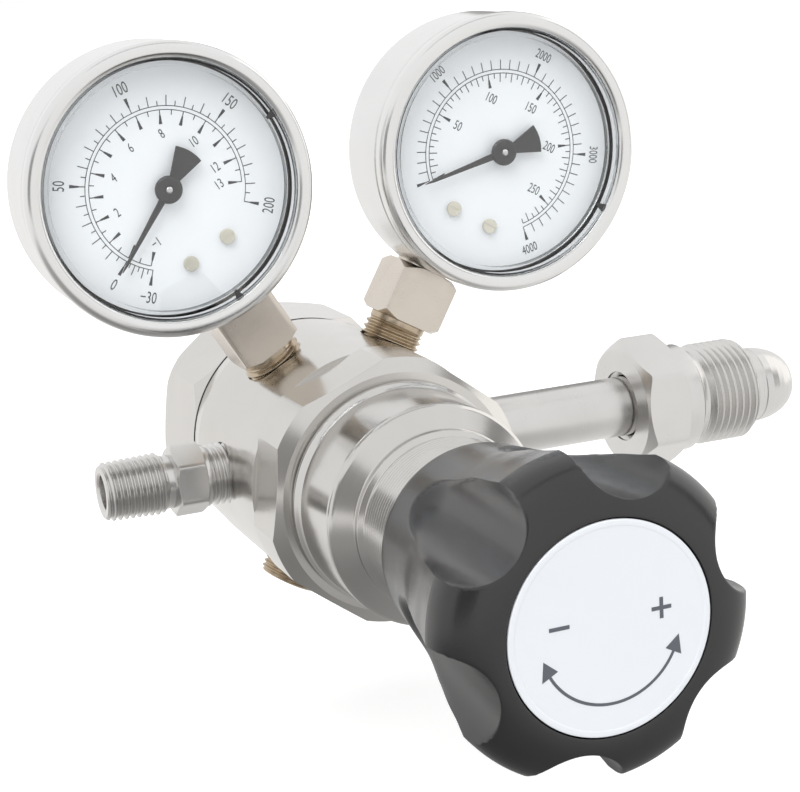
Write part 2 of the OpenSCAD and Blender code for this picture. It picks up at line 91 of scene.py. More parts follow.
@dataclass(frozen=True)
class Axis:
    """A line that a piece is turned about, with two directions square to it."""

    origin: tuple[float, float, float]
    along: tuple[float, float, float]
    first: tuple[float, float, float]
    second: tuple[float, float, float]

    def at(self, radius: float, angle: float, station: float) -> Vector:
        """A point in metres.

        Args:
            radius: Distance from the axis in millimetres.
            angle: Turn about the axis in radians, from first to second.
            station: Distance along the axis in millimetres.

        Returns:
            The point in the part's frame.
        """
        a, f, s = Vector(self.along), Vector(self.first), Vector(self.second)
        p = Vector(self.origin) + a * station + (f * math.cos(angle) + s * math.sin(angle)) * radius
        return p * MM

    def flat(self, x: float, z: float, station: float) -> Vector:
        """A point given by two coordinates across the axis and one along it, all in millimetres."""
        a, f, s = Vector(self.along), Vector(self.first), Vector(self.second)
        return (Vector(self.origin) + a * station + f * x + s * z) * MM


MAIN = Axis(PORT_CENTRE, (0, 1, 0), (1, 0, 0), (0, 0, 1))
INLET = Axis(PORT_CENTRE, (1, 0, 0), (0, 1, 0), (0, 0, 1))
OUTLET = Axis(PORT_CENTRE, (-1, 0, 0), (0, 1, 0), (0, 0, -1))


def port_axis(lean: float, y: float = 0.0) -> Axis:
    """The axis of a port, from the body's axis outwards.

    Args:
        lean: Degrees from the vertical, to the right when seen from the knob.
        y: Where the port is along the body.

    Returns:
        The axis.
    """
    a = math.radians(lean)
    x, _, z = PORT_CENTRE
    return Axis((x, y, z), (math.sin(a), 0, math.cos(a)), (0, -1, 0), (math.cos(a), 0, -math.sin(a)))


def dial_axis(stem: Axis) -> Axis:
    """The axis of a dial. First runs to the right across the dial and second up the stem."""
    centre = tuple(c + GAUGE_HEIGHT * d for c, d in zip(stem.origin, stem.along))
    return Axis(centre, (0, 1, 0), stem.second, stem.along)


# Shapes


def eased(profile: Profile, radius: float, steps: int = 3) -> list[Pair]:
    """Rounds the corners of an open outline.

    Args:
        profile: The outline's points.
        radius: How far from each corner the rounding starts, in millimetres.
        steps: Pieces that each rounding is made of.

    Returns:
        The outline with its inner corners rounded.
    """
    made = [tuple(profile[0])]
    for before, here, after in zip(profile, profile[1:], profile[2:]):
        b, h, a = Vector(before), Vector(here), Vector(after)
        reach = min(radius, (b - h).length * 0.45, (a - h).length * 0.45)
        p, q = h + (b - h).normalized() * reach, h + (a - h).normalized() * reach
        for i in range(steps + 1):
            t = i / steps
            made.append(tuple((1 - t) ** 2 * p + 2 * t * (1 - t) * h + t * t * q))
    made.append(tuple(profile[-1]))
    return made


def smooth_least(a: float, b: float, width: float) -> float:
    """The smaller of two values, blended where they are closer than width."""
    h = max(width - abs(a - b), 0.0) / width
    return min(a, b) - h * h * width * 0.25


def curve_through(points: Profile, per_span: int) -> list[Pair]:
    """A smooth outline through points, by Catmull and Rom's rule.

    Args:
        points: The points that the outline passes.
        per_span: Pieces between one point and the next.

    Returns:
        The outline's points.
    """
    padded = [points[0], *points, points[-1]]
    made = []
    for p0, p1, p2, p3 in zip(padded, padded[1:], padded[2:], padded[3:]):
        for i in range(per_span):
            t = i / per_span
            made.append(tuple(
                0.5 * (2 * b + (c - a) * t + (2 * a - 5 * b + 4 * c - d) * t ** 2
                       + (3 * b - a - 3 * c + d) * t ** 3)
                for a, b, c, d in zip(p0, p1, p2, p3)))
    made.append(tuple(points[-1]))
    return made


def polar(radius: float, angle: float) -> Pair:
    """A point across an axis by its radius and its angle in radians."""
    return radius * math.cos(angle), radius * math.sin(angle)


def rectangle(x: float, z: float, half_width: float, half_height: float) -> list[Pair]:
    """The corners of a rectangle about a point."""
    return [(x - half_width, z - half_height), (x + half_width, z - half_height),
            (x + half_width, z + half_height), (x - half_width, z + half_height)]


def turned_points(points: Iterable[Pair], angle: float) -> list[Pair]:
    """Points drawn along +x, turned by an angle in radians."""
    c, s = math.cos(angle), math.sin(angle)
    return [(x * c - y * s, x * s + y * c) for x, y in points]


class Shell:
    """Collects points and faces of one piece and turns them into an object."""

    def __init__(self, name: str, body: str, sharp: float = 32.0) -> None:
        """Starts an empty piece.

        Args:
            name: The piece's name.
            body: The moving body that it rides on.
            sharp: Edges that turn more than this many degrees stay crisp.
        """
        self.name = name
        self.body = body
        self.sharp = sharp
        self.points: list[Vector] = []
        self.faces: list[tuple[int, ...]] = []

    def rows(self, rows: Sequence[Sequence[Vector]], closed: bool = True) -> None:
        """Adds a skin over rows of points, each row the same length.

        Args:
            rows: The rows, one after the other along the skin.
            closed: Whether each row runs round to its own start.
        """
        start, n = len(self.points), len(rows[0])
        for row in rows:
            self.points.extend(row)
        last = n if closed else n - 1
        for j in range(len(rows) - 1):
            for i in range(last):
                k = (i + 1) % n
                a, b = start + j * n, start + (j + 1) * n
                self.faces.append((a + i, a + k, b + k, b + i))

    def turned(self, axis: Axis, profile: Profile, segments: int = 128) -> None:
        """Adds a turned skin from an outline of (radius, station) pairs."""
        self.rows([[axis.at(r, TAU * i / segments, s) for i in range(segments)] for r, s in profile])

    def threaded(self, axis: Axis, start: float, end: float, pitch: float, depth: float,
                 outside: Callable[[float], float], limit: Callable[[float], float] | None = None,
                 segments: int = 128) -> None:
        """Adds a helical thread whose rows follow the helix.

        Args:
            axis: The thread's axis.
            start: First station in millimetres.
            end: Last station in millimetres, past the first.
            pitch: Advance of one turn.
            depth: Depth of the groove.
            outside: Crest radius at a station.
            limit: Largest radius at a station, where a chamfer or groove cuts the thread.
            segments: Points in each turn.
        """
        cut = (0.0, 0.0, 0.34, 0.68, 1.0, 1.0, 0.68, 0.34)
        fine = len(cut)
        base, count = len(self.points), int(math.ceil((end - start) / pitch)) * fine + fine + 1
        for j in range(-fine, count):
            for i in range(segments):
                s = min(max(start + pitch * (j / fine + i / segments), start), end)
                r = outside(s) - depth * cut[j % fine]
                if limit:
                    r = min(r, limit(s))
                self.points.append(axis.at(r, TAU * i / segments, s))
        total = count + fine
        for j in range(total - 1):
            for i in range(segments):
                a = base + j * segments + i
                if i + 1 < segments:
                    self.faces.append((a, a + 1, a + 1 + segments, a + segments))
                elif j + fine + 1 < total:
                    b = base + (j + fine) * segments
                    self.faces.append((a, b, b + segments, a + segments))

    def flats(self, axis: Axis, sides: int, across: float, turn: float, start: float, end: float,
              start_face: float, end_face: float, slope: float = 0.55, corner: float = 0.4,
              bore: Pair = (0.0, 0.0), per_side: int = 24) -> None:
        """Adds a bar with flats whose ends are chamfered round, as a spanner nut is.

        Args:
            axis: The bar's axis.
            sides: Number of flats.
            across: Distance across the flats.
            turn: Angle of a corner in degrees.
            start: Station of the first end.
            end: Station of the other end.
            start_face: Radius where the chamfer of the first end begins.
            end_face: The same at the other end.
            slope: Drop along the axis for each millimetre of radius.
            corner: How far each corner is eased.
            bore: Radii of the holes that the two end faces run in to.
            per_side: Points along each flat.
        """
        half, step, n = across / 2, TAU / sides, sides * per_side
        rows: list[list[Vector]] = [[] for _ in range(6)]
        for i in range(n):
            a = TAU * i / n
            r = half / math.cos((a % step) - step / 2)
            r = smooth_least(r, half / math.cos(step / 2) - corner * 0.3, corner)
            angle = a + math.radians(turn)
            near, far = max(r - start_face, 0.0) * slope, max(r - end_face, 0.0) * slope
            ring = ((bore[0], start), (min(r, start_face), start), (r, start + near),
                    (r, end - far), (min(r, end_face), end), (bore[1], end))
            for row, (radius, station) in zip(rows, ring):
                row.append(axis.at(radius, angle, station))
        self.rows(rows)

    def plate(self, axis: Axis, outline: Profile, front: float, back: float) -> None:
        """Adds a flat plate with the given outline between two stations of an axis."""
        start, n = len(self.points), len(outline)
        for station in (front, back):
            self.points.extend(axis.flat(x, z, station) for x, z in outline)
        self.faces.append(tuple(start + i for i in range(n)))
        self.faces.append(tuple(start + n + i for i in reversed(range(n))))
        for i in range(n):
            k = (i + 1) % n
            self.faces.append((start + i, start + n + i, start + n + k, start + k))

    def finish(self, material: Material, *stands_for: str, slot: str | None = None,
               bevel: float = 0.0) -> Object:
        """Makes the object, cleans its mesh and puts it on its body.

        Args:
            material: The finish of the piece.
            *stands_for: Plain nodes that it replaces.
            slot: Not used.
            bevel: Width of a modelled edge break in millimetres, or none.

        Returns:
            The new object.
        """
        mesh = bpy.data.meshes.new(self.name)
        mesh.from_pydata([tuple(p) for p in self.points], [], self.faces)
        work = bmesh.new()
        work.from_mesh(mesh)
        bmesh.ops.remove_doubles(work, verts=work.verts, dist=2e-6)
        bmesh.ops.dissolve_degenerate(work, edges=work.edges, dist=2e-6)
        bmesh.ops.recalc_face_normals(work, faces=work.faces)
        work.to_mesh(mesh)
        work.free()
        mesh.polygons.foreach_set("use_smooth", [True] * len(mesh.polygons))
        mesh.set_sharp_from_angle(angle=math.radians(self.sharp))
        mesh.materials.append(material)
        obj = bpy.data.objects.new(self.name, mesh)
        bpy.context.scene.collection.objects.link(obj)
        if bevel:
            edge = obj.modifiers.new("edge_break", "BEVEL")
            edge.width, edge.segments, edge.limit_method = bevel * MM, 2, "ANGLE"
            edge.angle_limit = math.radians(self.sharp)
            edge.harden_normals = True
        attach(obj, self.body)
        if stands_for:
            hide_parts(*stands_for)
        log.info("%s: %d faces on %s", self.name, len(mesh.polygons), self.body)
        return obj


class Print(Shell):
    """Flat printed marks on one face."""

    def __init__(self, name: str, body: str, axis: Axis, level: float) -> None:
        """Starts an empty print.

        Args:
            name: The piece's name.
            body: The moving body that it rides on.
            axis: The axis square to the face.
            level: Station of the print.
        """
        super().__init__(name, body)
        self.axis = axis
        self.level = level

    def mark(self, outline: Profile, lift: float = 0.0) -> None:
        """Adds a flat shape, lifted a little where it crosses another."""
        start = len(self.points)
        self.points.extend(self.axis.flat(x, z, self.level - lift) for x, z in outline)
        self.faces.append(tuple(range(start, start + len(outline))))

    def arc(self, radius: float, width: float, start: float, end: float) -> None:
        """Adds an arc. Radius and width are in millimetres, start and end in degrees."""
        n = max(int((end - start) / 2), 2)
        turns = [math.radians(start + (end - start) * i / n) for i in range(n + 1)]
        self.rows([[self.axis.at(radius + off, a, self.level) for a in turns]
                   for off in (-width / 2, width / 2)], closed=False)

    def bar(self, angle: float, inner: Pair, outer: Pair) -> None:
        """Adds a radial bar.

        Args:
            angle: Where the bar lies, in radians.
            inner: Radius and half width of its one end.
            outer: Radius and half width of its other end.
        """
        (r0, w0), (r1, w1) = inner, outer
        self.mark(turned_points([(r0, -w0), (r1, -w1), (r1, w1), (r0, w0)], angle))

    def number(self, text: str, height: float, centre: Pair, turn: float) -> None:
        """Adds a number.

        Args:
            text: The digits.
            height: Height of a digit in millimetres.
            centre: Where the middle of the number goes on the face.
            turn: Turn of the number in radians.
        """
        curve = bpy.data.curves.new("digits", "FONT")
        curve.body, curve.size, curve.resolution_u = text, 1.0, 3
        curve.align_x, curve.align_y = "CENTER", "CENTER"
        obj = bpy.data.objects.new("digits", curve)
        bpy.context.scene.collection.objects.link(obj)
        mesh = obj.to_mesh()
        xs, ys = zip(*((v.co.x, v.co.y) for v in mesh.vertices))
        tall = height / DIGIT_RISE
        mx, my = (max(xs) + min(xs)) / 2, (max(ys) + min(ys)) / 2
        start, c, s = len(self.points), math.cos(turn), math.sin(turn)
        for v in mesh.vertices:
            x, y = (v.co.x - mx) * tall * DIGIT_NARROW, (v.co.y - my) * tall
            right, up = centre[0] + x * c - y * s, centre[1] + x * s + y * c
            self.points.append(self.axis.flat(right, up, self.level))
        for face in mesh.polygons:
            self.faces.append(tuple(start + i for i in face.vertices))
        obj.to_mesh_clear()
        bpy.data.objects.remove(obj)
        bpy.data.curves.remove(curve)


# Finishes


class Nodes:
    """Short calls for laying out one node tree."""

    def __init__(self, tree: NodeTree) -> None:
        """Keeps the tree to add to."""
        self.tree = tree

    def add(self, kind: str, **values: object) -> Node:
        """Adds a node.

        Args:
            kind: Blender's node type.
            **values: Properties, or sockets and default values for inputs by name, spaces as _.

        Returns:
            The node.
        """
        node = self.tree.nodes.new(kind)
        inputs = {s.name.replace(" ", "_"): s for s in reversed(node.inputs)}
        for key, value in values.items():
            if isinstance(value, NodeSocket):
                self.link(value, inputs[key])
            elif key in inputs:
                inputs[key].default_value = value
            else:
                setattr(node, key, value)
        return node

    def group(self, tree: NodeTree, **values: object) -> Node:
        """Adds a shared group with default values for its inputs, spaces as _."""
        node = self.add("ShaderNodeGroup", node_tree=tree)
        for key, value in values.items():
            node.inputs[key.replace("_", " ")].default_value = value
        return node

    def link(self, source: NodeSocket, target: NodeSocket) -> None:
        """Joins two sockets."""
        self.tree.links.new(source, target)

    def math(self, operation: str, *values: object) -> NodeSocket:
        """A Math node over sockets or numbers, and its output."""
        return self._operate("ShaderNodeMath", operation, values).outputs[0]

    def vector_math(self, operation: str, *values: object) -> Node:
        """A Vector Math node over sockets or vectors."""
        return self._operate("ShaderNodeVectorMath", operation, values)

    def _operate(self, kind: str, operation: str, values: Iterable[object]) -> Node:
        """Adds a node with an operation and fills its inputs in order."""
        node = self.add(kind, operation=operation)
        for socket, value in zip(node.inputs, values):
            if isinstance(value, NodeSocket):
                self.link(value, socket)
            else:
                socket.default_value = value
        return node

    def blend(self, mask: NodeSocket, first: Rgb, second: Rgb) -> NodeSocket:
        """A colour that goes from the first to the second as a mask rises."""
        mix = self.add("ShaderNodeMix", data_type="RGBA")
        for socket, colour in zip([s for s in mix.inputs if s.type == "RGBA"], (first, second)):
            socket.default_value = (*colour, 1.0)
        self.link(mask, mix.inputs[0])
        return next(s for s in mix.outputs if s.type == "RGBA")

    def choose(self, mask: NodeSocket, plain: NodeSocket, other: NodeSocket) -> NodeSocket:
        """One shader where a mask is 0 and another where it is 1."""
        mix = self.add("ShaderNodeMixShader")
        for socket, source in zip(mix.inputs, (mask, plain, other)):
            self.link(source, socket)
        return mix.outputs[0]

    def surface(self, shader: NodeSocket) -> None:
        """Makes a shader the surface of the material."""
        self.link(shader, self.tree.nodes["Material Output"].inputs["Surface"])

    def cover(self, shader: Node, mask: NodeSocket, colours: tuple[Rgb, Rgb], roughness: float,
              swing: float) -> None:
        """Spreads two colours and a roughness over a shader by a mask.

        Args:
            shader: The shader.
            mask: What the colour and the roughness follow.
            colours: The colours at 0 and 1.
            roughness: The roughness where the mask is a half.
            swing: How much rougher it is at 1 than at 0.
        """
        self.link(self.blend(mask, *colours), shader.inputs["Base Color"])
        level = self.math("ADD", self.math("MULTIPLY", mask, swing), roughness - swing / 2)
        self.link(level, shader.inputs["Roughness"])

    def bump(self, shader: Node, **values: object) -> None:
        """Gives a shader a bump with the given Height, Strength and Distance."""
        self.link(self.add("ShaderNodeBump", **values).outputs[0], shader.inputs["Normal"])


class Effects:
    """Node groups that several finishes share, each built once."""

    def __init__(self) -> None:
        """Builds the groups."""
        self.turning = self._turning_marks()
        self.handling = self._handling()
        self.grain = self._moulded_grain()

    @staticmethod
    def _group(name: str, inputs: dict[str, object], outputs: Iterable[str]) -> tuple[Nodes, object, object]:
        """Starts a node group that gives numbers.

        Args:
            name: The group's name.
            inputs: Default of each input, a tuple where it is a vector.
            outputs: Name of each output.

        Returns:
            A layout helper, the sockets that bring the inputs and those that take the outputs.
        """
        tree = bpy.data.node_groups.new(name, "ShaderNodeTree")
        for label, default in inputs.items():
            kind = "NodeSocketVector" if isinstance(default, tuple) else "NodeSocketFloat"
            socket = tree.interface.new_socket(name=label, in_out="INPUT", socket_type=kind)
            socket.default_value = default
        for label in outputs:
            tree.interface.new_socket(name=label, in_out="OUTPUT", socket_type="NodeSocketFloat")
        n = Nodes(tree)
        return n, n.add("NodeGroupInput").outputs, n.add("NodeGroupOutput").inputs

    def _turning_marks(self) -> NodeTree:
        """Fine lines left by the lathe, running round an axis."""
        defaults = {"Centre": (0, 0, 0), "Axis": (0, 1, 0), "Lines per metre": 900.0, "Drift": 1.5}
        n, given, out = self._group("turning_marks", defaults, ("Height", "Streaks"))
        place = n.add("ShaderNodeTexCoord").outputs["Object"]
        local = n.vector_math("SUBTRACT", place, given["Centre"]).outputs[0]
        along = n.vector_math("DOT_PRODUCT", local, given["Axis"]).outputs["Value"]
        axial = n.vector_math("SCALE", given["Axis"])
        n.link(along, axial.inputs["Scale"])
        across = n.vector_math("SUBTRACT", local, axial.outputs[0]).outputs[0]
        radius = n.vector_math("LENGTH", across).outputs["Value"]
        slow = n.vector_math("SCALE", n.vector_math("NORMALIZE", across).outputs[0])
        n.link(given["Drift"], slow.inputs["Scale"])
        pair = n.add("ShaderNodeCombineXYZ", X=n.math("MULTIPLY", along, given["Lines per metre"]),
                     Y=n.math("MULTIPLY", radius, given["Lines per metre"]))
        spot = n.vector_math("ADD", pair.outputs[0], slow.outputs[0]).outputs[0]
        fine = n.add("ShaderNodeTexNoise", Vector=spot, Scale=1.0, Detail=5.0, Roughness=0.7)
        broad = n.add("ShaderNodeTexNoise", Vector=spot, Scale=0.22, Detail=2.0, Roughness=0.5)
        n.link(fine.outputs[0], out["Height"])
        n.link(broad.outputs[0], out["Streaks"])
        return n.tree

    def _handling(self) -> NodeTree:
        """Soft smudges and tiny pits from use."""
        defaults = {"Smudges per metre": 60.0, "Specks per metre": 1800.0}
        n, given, out = self._group("handling", defaults, ("Smudge", "Specks"))
        place = n.add("ShaderNodeTexCoord").outputs["Object"]
        soft = n.add("ShaderNodeTexNoise", Vector=place, Scale=given["Smudges per metre"], Detail=4.0,
                     Roughness=0.55, Distortion=0.6)
        tiny = n.add("ShaderNodeTexNoise", Vector=place, Scale=given["Specks per metre"], Detail=2.0,
                     Roughness=0.6)
        ramp = n.add("ShaderNodeMapRange", Value=tiny.outputs[0], From_Min=0.62, From_Max=0.75)
        n.link(soft.outputs[0], out["Smudge"])
        n.link(ramp.outputs[0], out["Specks"])
        return n.tree

    def _moulded_grain(self) -> NodeTree:
        """The even, fine grain of a spark-eroded mould."""
        n, given, out = self._group("moulded_grain", {"Grains per metre": 2600.0}, ("Height", "Cloud"))
        place = n.add("ShaderNodeTexCoord").outputs["Object"]
        cells = n.add("ShaderNodeTexVoronoi", feature="SMOOTH_F1", Smoothness=0.6, Vector=place,
                      Scale=given["Grains per metre"])
        cloud = n.add("ShaderNodeTexNoise", Vector=place, Scale=70.0, Detail=3.0, Roughness=0.6)
        n.link(cells.outputs["Distance"], out["Height"])
        n.link(cloud.outputs[0], out["Cloud"])
        return n.tree


@dataclass(frozen=True)
class Metal:
    """A bare metal with turning lines and smudges."""

    name: str
    colour: Rgb
    tint: Rgb
    roughness: float
    lines: float = 0.25
    per_metre: float = 900.0
    patchy: float = 0.06
    ease: float = 0.12
    line_depth: float = 0.00002

    def dress(self, effects: Effects, axis: Axis, label: str) -> Material:
        """Makes the material for pieces turned about one axis.

        Args:
            effects: The shared node groups.
            axis: The axis that the turning lines run round.
            label: Word added to the material's name.

        Returns:
            The material.
        """
        material, n, shader = start_material(f"{self.name}_{label}")
        marks = n.group(effects.turning, Centre=[v * MM for v in axis.origin], Axis=axis.along,
                        Lines_per_metre=self.per_metre).outputs
        smudge = n.group(effects.handling).outputs["Smudge"]
        n.link(n.blend(smudge, self.colour, self.tint), shader.inputs["Base Color"])
        patches = [n.math("MULTIPLY", mask, self.patchy) for mask in (marks["Streaks"], smudge)]
        rough = n.math("ADD", n.math("ADD", *patches), self.roughness - self.patchy)
        n.link(rough, shader.inputs["Roughness"])
        shader.inputs["Metallic"].default_value = 1.0
        edge = n.add("ShaderNodeBevel", samples=4, Radius=self.ease * MM)
        n.bump(shader, Height=marks["Height"], Normal=edge.outputs[0], Strength=self.lines,
               Distance=self.line_depth)
        return material


@dataclass(frozen=True)
class Moulding:
    """A moulded plastic with a fine even grain."""

    name: str
    colour: Rgb
    roughness: float
    swing: float = 0.14
    specular: float = 0.7
    grain: float = 0.35
    grain_depth: float = 0.00004

    def dress(self, effects: Effects) -> Material:
        """Makes the material from the shared node groups."""
        material, n, shader = start_material(self.name)
        grain = n.group(effects.grain).outputs
        paler = tuple(min(c * 1.5 + 0.004, 1.0) for c in self.colour)
        n.cover(shader, grain["Cloud"], (self.colour, paler), self.roughness, self.swing)
        shader.inputs["Specular IOR Level"].default_value = self.specular
        n.bump(shader, Height=grain["Height"], Strength=self.grain, Distance=self.grain_depth)
        return material


@dataclass(frozen=True)
class Paint:
    """A smooth painted or printed surface with slight mottling."""

    name: str
    colour: Rgb
    roughness: float
    mottle: float = 0.02
    swing: float = 0.1
    specks: float = 0.15
    speck_depth: float = 0.00001

    def dress(self, effects: Effects) -> Material:
        """Makes the material from the shared node groups."""
        material, n, shader = start_material(self.name)
        wear = n.group(effects.handling).outputs
        darker = tuple(c * (1 - self.mottle) for c in self.colour)
        n.cover(shader, wear["Smudge"], (self.colour, darker), self.roughness, self.swing)
        n.bump(shader, Height=wear["Specks"], Strength=self.specks, Distance=self.speck_depth)
        return material


@dataclass(frozen=True)
class Clear:
    """Clear moulded plastic that lets light through to the dial."""

    name: str
    colour: Rgb = (0.97, 0.99, 1.0)
    ior: float = 1.46
    haze: float = 0.03

    def dress(self, effects: Effects) -> Material:
        """Makes the material. Shadow and diffuse rays pass straight through."""
        material, n, shader = start_material(self.name)
        smudge = n.group(effects.handling).outputs["Smudge"]
        n.link(n.math("MULTIPLY", smudge, self.haze), shader.inputs["Roughness"])
        shader.inputs["Base Color"].default_value = (*self.colour, 1.0)
        shader.inputs["Transmission Weight"].default_value = 1.0
        shader.inputs["IOR"].default_value = self.ior
        path = n.add("ShaderNodeLightPath").outputs
        through = n.math("MAXIMUM", path["Is Shadow Ray"], path["Is Diffuse Ray"])
        n.surface(n.choose(through, shader.outputs[0], n.add("ShaderNodeBsdfTransparent").outputs[0]))
        return material


def start_material(name: str) -> tuple[Material, Nodes, Node]:
    """A new node material, its layout helper and its shader."""
    material = bpy.data.materials.new(name)
    material.use_nodes = True
    return material, Nodes(material.node_tree), material.node_tree.nodes["Principled BSDF"]


@dataclass
class Finishes:
    """Every finish of the regulator. Metals are made once for each axis that asks for them."""

    effects: Effects
    made: dict[str, Material] = field(default_factory=dict)

    POLISHED = Metal("polished_stainless", (0.67, 0.655, 0.635), (0.61, 0.595, 0.57), 0.19,
                     lines=0.22, per_metre=700.0)
    BARREL = Metal("barrel_stainless", (0.66, 0.65, 0.635), (0.60, 0.585, 0.565), 0.16,
                   lines=0.3, per_metre=1100.0)
    MILLED = Metal("milled_stainless", (0.73, 0.72, 0.705), (0.65, 0.64, 0.625), 0.26,
                   lines=0.35, per_metre=1500.0)
    CASE = Metal("case_stainless", (0.82, 0.82, 0.815), (0.76, 0.76, 0.755), 0.22, per_metre=1300.0)
    SOCKET = Metal("tinted_socket", (0.72, 0.665, 0.60), (0.63, 0.57, 0.50), 0.26,
                   lines=0.3, per_metre=1600.0, patchy=0.12)
    THREAD = Metal("tinted_thread", (0.63, 0.54, 0.43), (0.47, 0.38, 0.27), 0.24,
                   lines=0.3, per_metre=1600.0, patchy=0.12)
    BRASS = Metal("plain_brass", (0.72, 0.56, 0.32), (0.60, 0.45, 0.24), 0.27, lines=0.3, patchy=0.12)
    PALE_BRASS = Metal("pale_brass", (0.80, 0.76, 0.66), (0.70, 0.65, 0.54), 0.25, lines=0.3, patchy=0.10)
    SPRING = Metal("spring_wire", (0.62, 0.61, 0.60), (0.52, 0.51, 0.50), 0.3)

    def metal(self, kind: Metal, axis: Axis, label: str) -> Material:
        """The material of a metal about an axis, made on first use."""
        key = f"{kind.name}_{label}"
        if key not in self.made:
            self.made[key] = kind.dress(self.effects, axis, label)
        return self.made[key]

    def plain(self, kind: Moulding | Paint | Clear) -> Material:
        """The material of a finish that has no axis, made on first use."""
        if kind.name not in self.made:
            self.made[kind.name] = kind.dress(self.effects)
        return self.made[kind.name]


BLACK_PLASTIC = Moulding("knob_plastic", (0.008, 0.0075, 0.008), 0.24)
LABEL_FACE = Paint("label_face", (0.765, 0.79, 0.825), 0.34, mottle=0.03)
LABEL_INK = Paint("label_ink", (0.10, 0.11, 0.13), 0.4)
DIAL_WHITE = Paint("dial_white", (0.90, 0.92, 0.94), 0.5, mottle=0.015)
DIAL_INK = Paint("dial_ink", (0.03, 0.03, 0.035), 0.45)
POINTER_BLACK = Paint("pointer_black", (0.035, 0.033, 0.033), 0.42, mottle=0.2)
WINDOW_CLEAR = Clear("window_clear")
# Dark colour of the cap seam, a real joint, and painted shade in the window's edge gap and at its tabs.
DARK_JOINT_AND_SHADE = Paint("gap_shade", (0.05, 0.05, 0.05), 0.6)


def dress_node(node: str, material: Material) -> None:
    """Gives a node that stays shown its material."""
    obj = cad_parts[node]
    obj.data.materials.clear()
    obj.data.materials.append(material)
    log.info("%s: dressed with %s", node, material.name)


# Sub-assemblies


@dataclass
class PortBlock:
    """The body, the rear cap, the inner stage parts, the inlet tube and the lower plug."""

    finishes: Finishes
    seam: tuple[Pair, Pair] = ((27.0, 27.44), (22.72, 23.08))
    plug_r: float = 6.8
    plug_from: float = 27.02
    plug_to: float = 30.6
    plug_pitch: float = 1.1
    stub_r: float = 4.9
    socket_mouth_r: float = 3.9
    socket_flat_r: float = 3.1
    socket_depth: float = 3.5

    TURNED = {
        Finishes.POLISHED: ("body", "rear_cap", "thrust_ball"),
        Finishes.SPRING: ("front_diaphragm", "range_spring", "front_poppet_spring", "rear_diaphragm",
                          "rear_spring", "rear_poppet_spring"),
        Finishes.MILLED: ("front_plate", "front_poppet", "rear_plate", "rear_set_screw", "rear_poppet",
                          "adjusting_screw"),
        Finishes.BRASS: ("spring_button", "front_seat", "rear_seat", "knob_insert"),
    }

    def build(self) -> None:
        """Dresses the nodes that stay and makes the seam and the threaded plug."""
        for kind, nodes in self.TURNED.items():
            for node in nodes:
                dress_node(node, self.finishes.metal(kind, MAIN, "main"))
        dress_node("inlet_nipple", self.finishes.metal(Finishes.MILLED, INLET, "inlet"))
        dress_node("inlet_filter", self.finishes.metal(Finishes.BRASS, INLET, "inlet"))
        self._seam()
        self._plug()

    def _seam(self) -> None:
        """The dark line where the rear cap meets the body."""
        (inner, outer), (front, back) = self.seam
        seam = Shell("cap_seam", "regulator")
        seam.turned(MAIN, [(inner, front), (outer, front), (outer, back), (inner, back)], 192)
        seam.finish(self.finishes.plain(DARK_JOINT_AND_SHADE))

    def _plug(self) -> None:
        """The brass plug, threaded outside, with a hexagonal socket in its face."""
        axis, top, floor = port_axis(PLUG_LEAN, PLUG_Y), self.plug_to, self.plug_to - self.socket_depth
        chamfer, n, side = 0.6, 128, TAU / 6
        turns = [TAU * i / n for i in range(n)]
        plug = Shell("lower_port_plug", "regulator")
        plug.threaded(axis, self.plug_from, top, self.plug_pitch, 0.55, lambda s: self.plug_r,
                      lambda s: self.plug_r - max(0.0, s - top + chamfer))
        plug.turned(axis, [(self.plug_r - chamfer, top), (self.socket_mouth_r, top)])
        rows = [[axis.at(self.socket_mouth_r, a, top) for a in turns]]
        hexagon = [self.socket_flat_r / math.cos(a % side - side / 2) for a in turns]
        rows.extend([axis.at(r, a, station) for r, a in zip(hexagon, turns)] for station in (top, floor))
        plug.rows(rows)
        hub = len(plug.points)
        ring = hub - n
        plug.points.append(axis.at(0, 0, floor))
        plug.faces.extend((ring + i, ring + (i + 1) % n, hub) for i in range(n))
        plug.turned(axis, [(self.plug_r, self.plug_from), (self.stub_r, self.plug_from),
                           (self.stub_r, self.plug_from - 8)])
        plug.finish(self.finishes.metal(Finishes.THREAD, axis, "plug"), "port_plug", slot="brass")


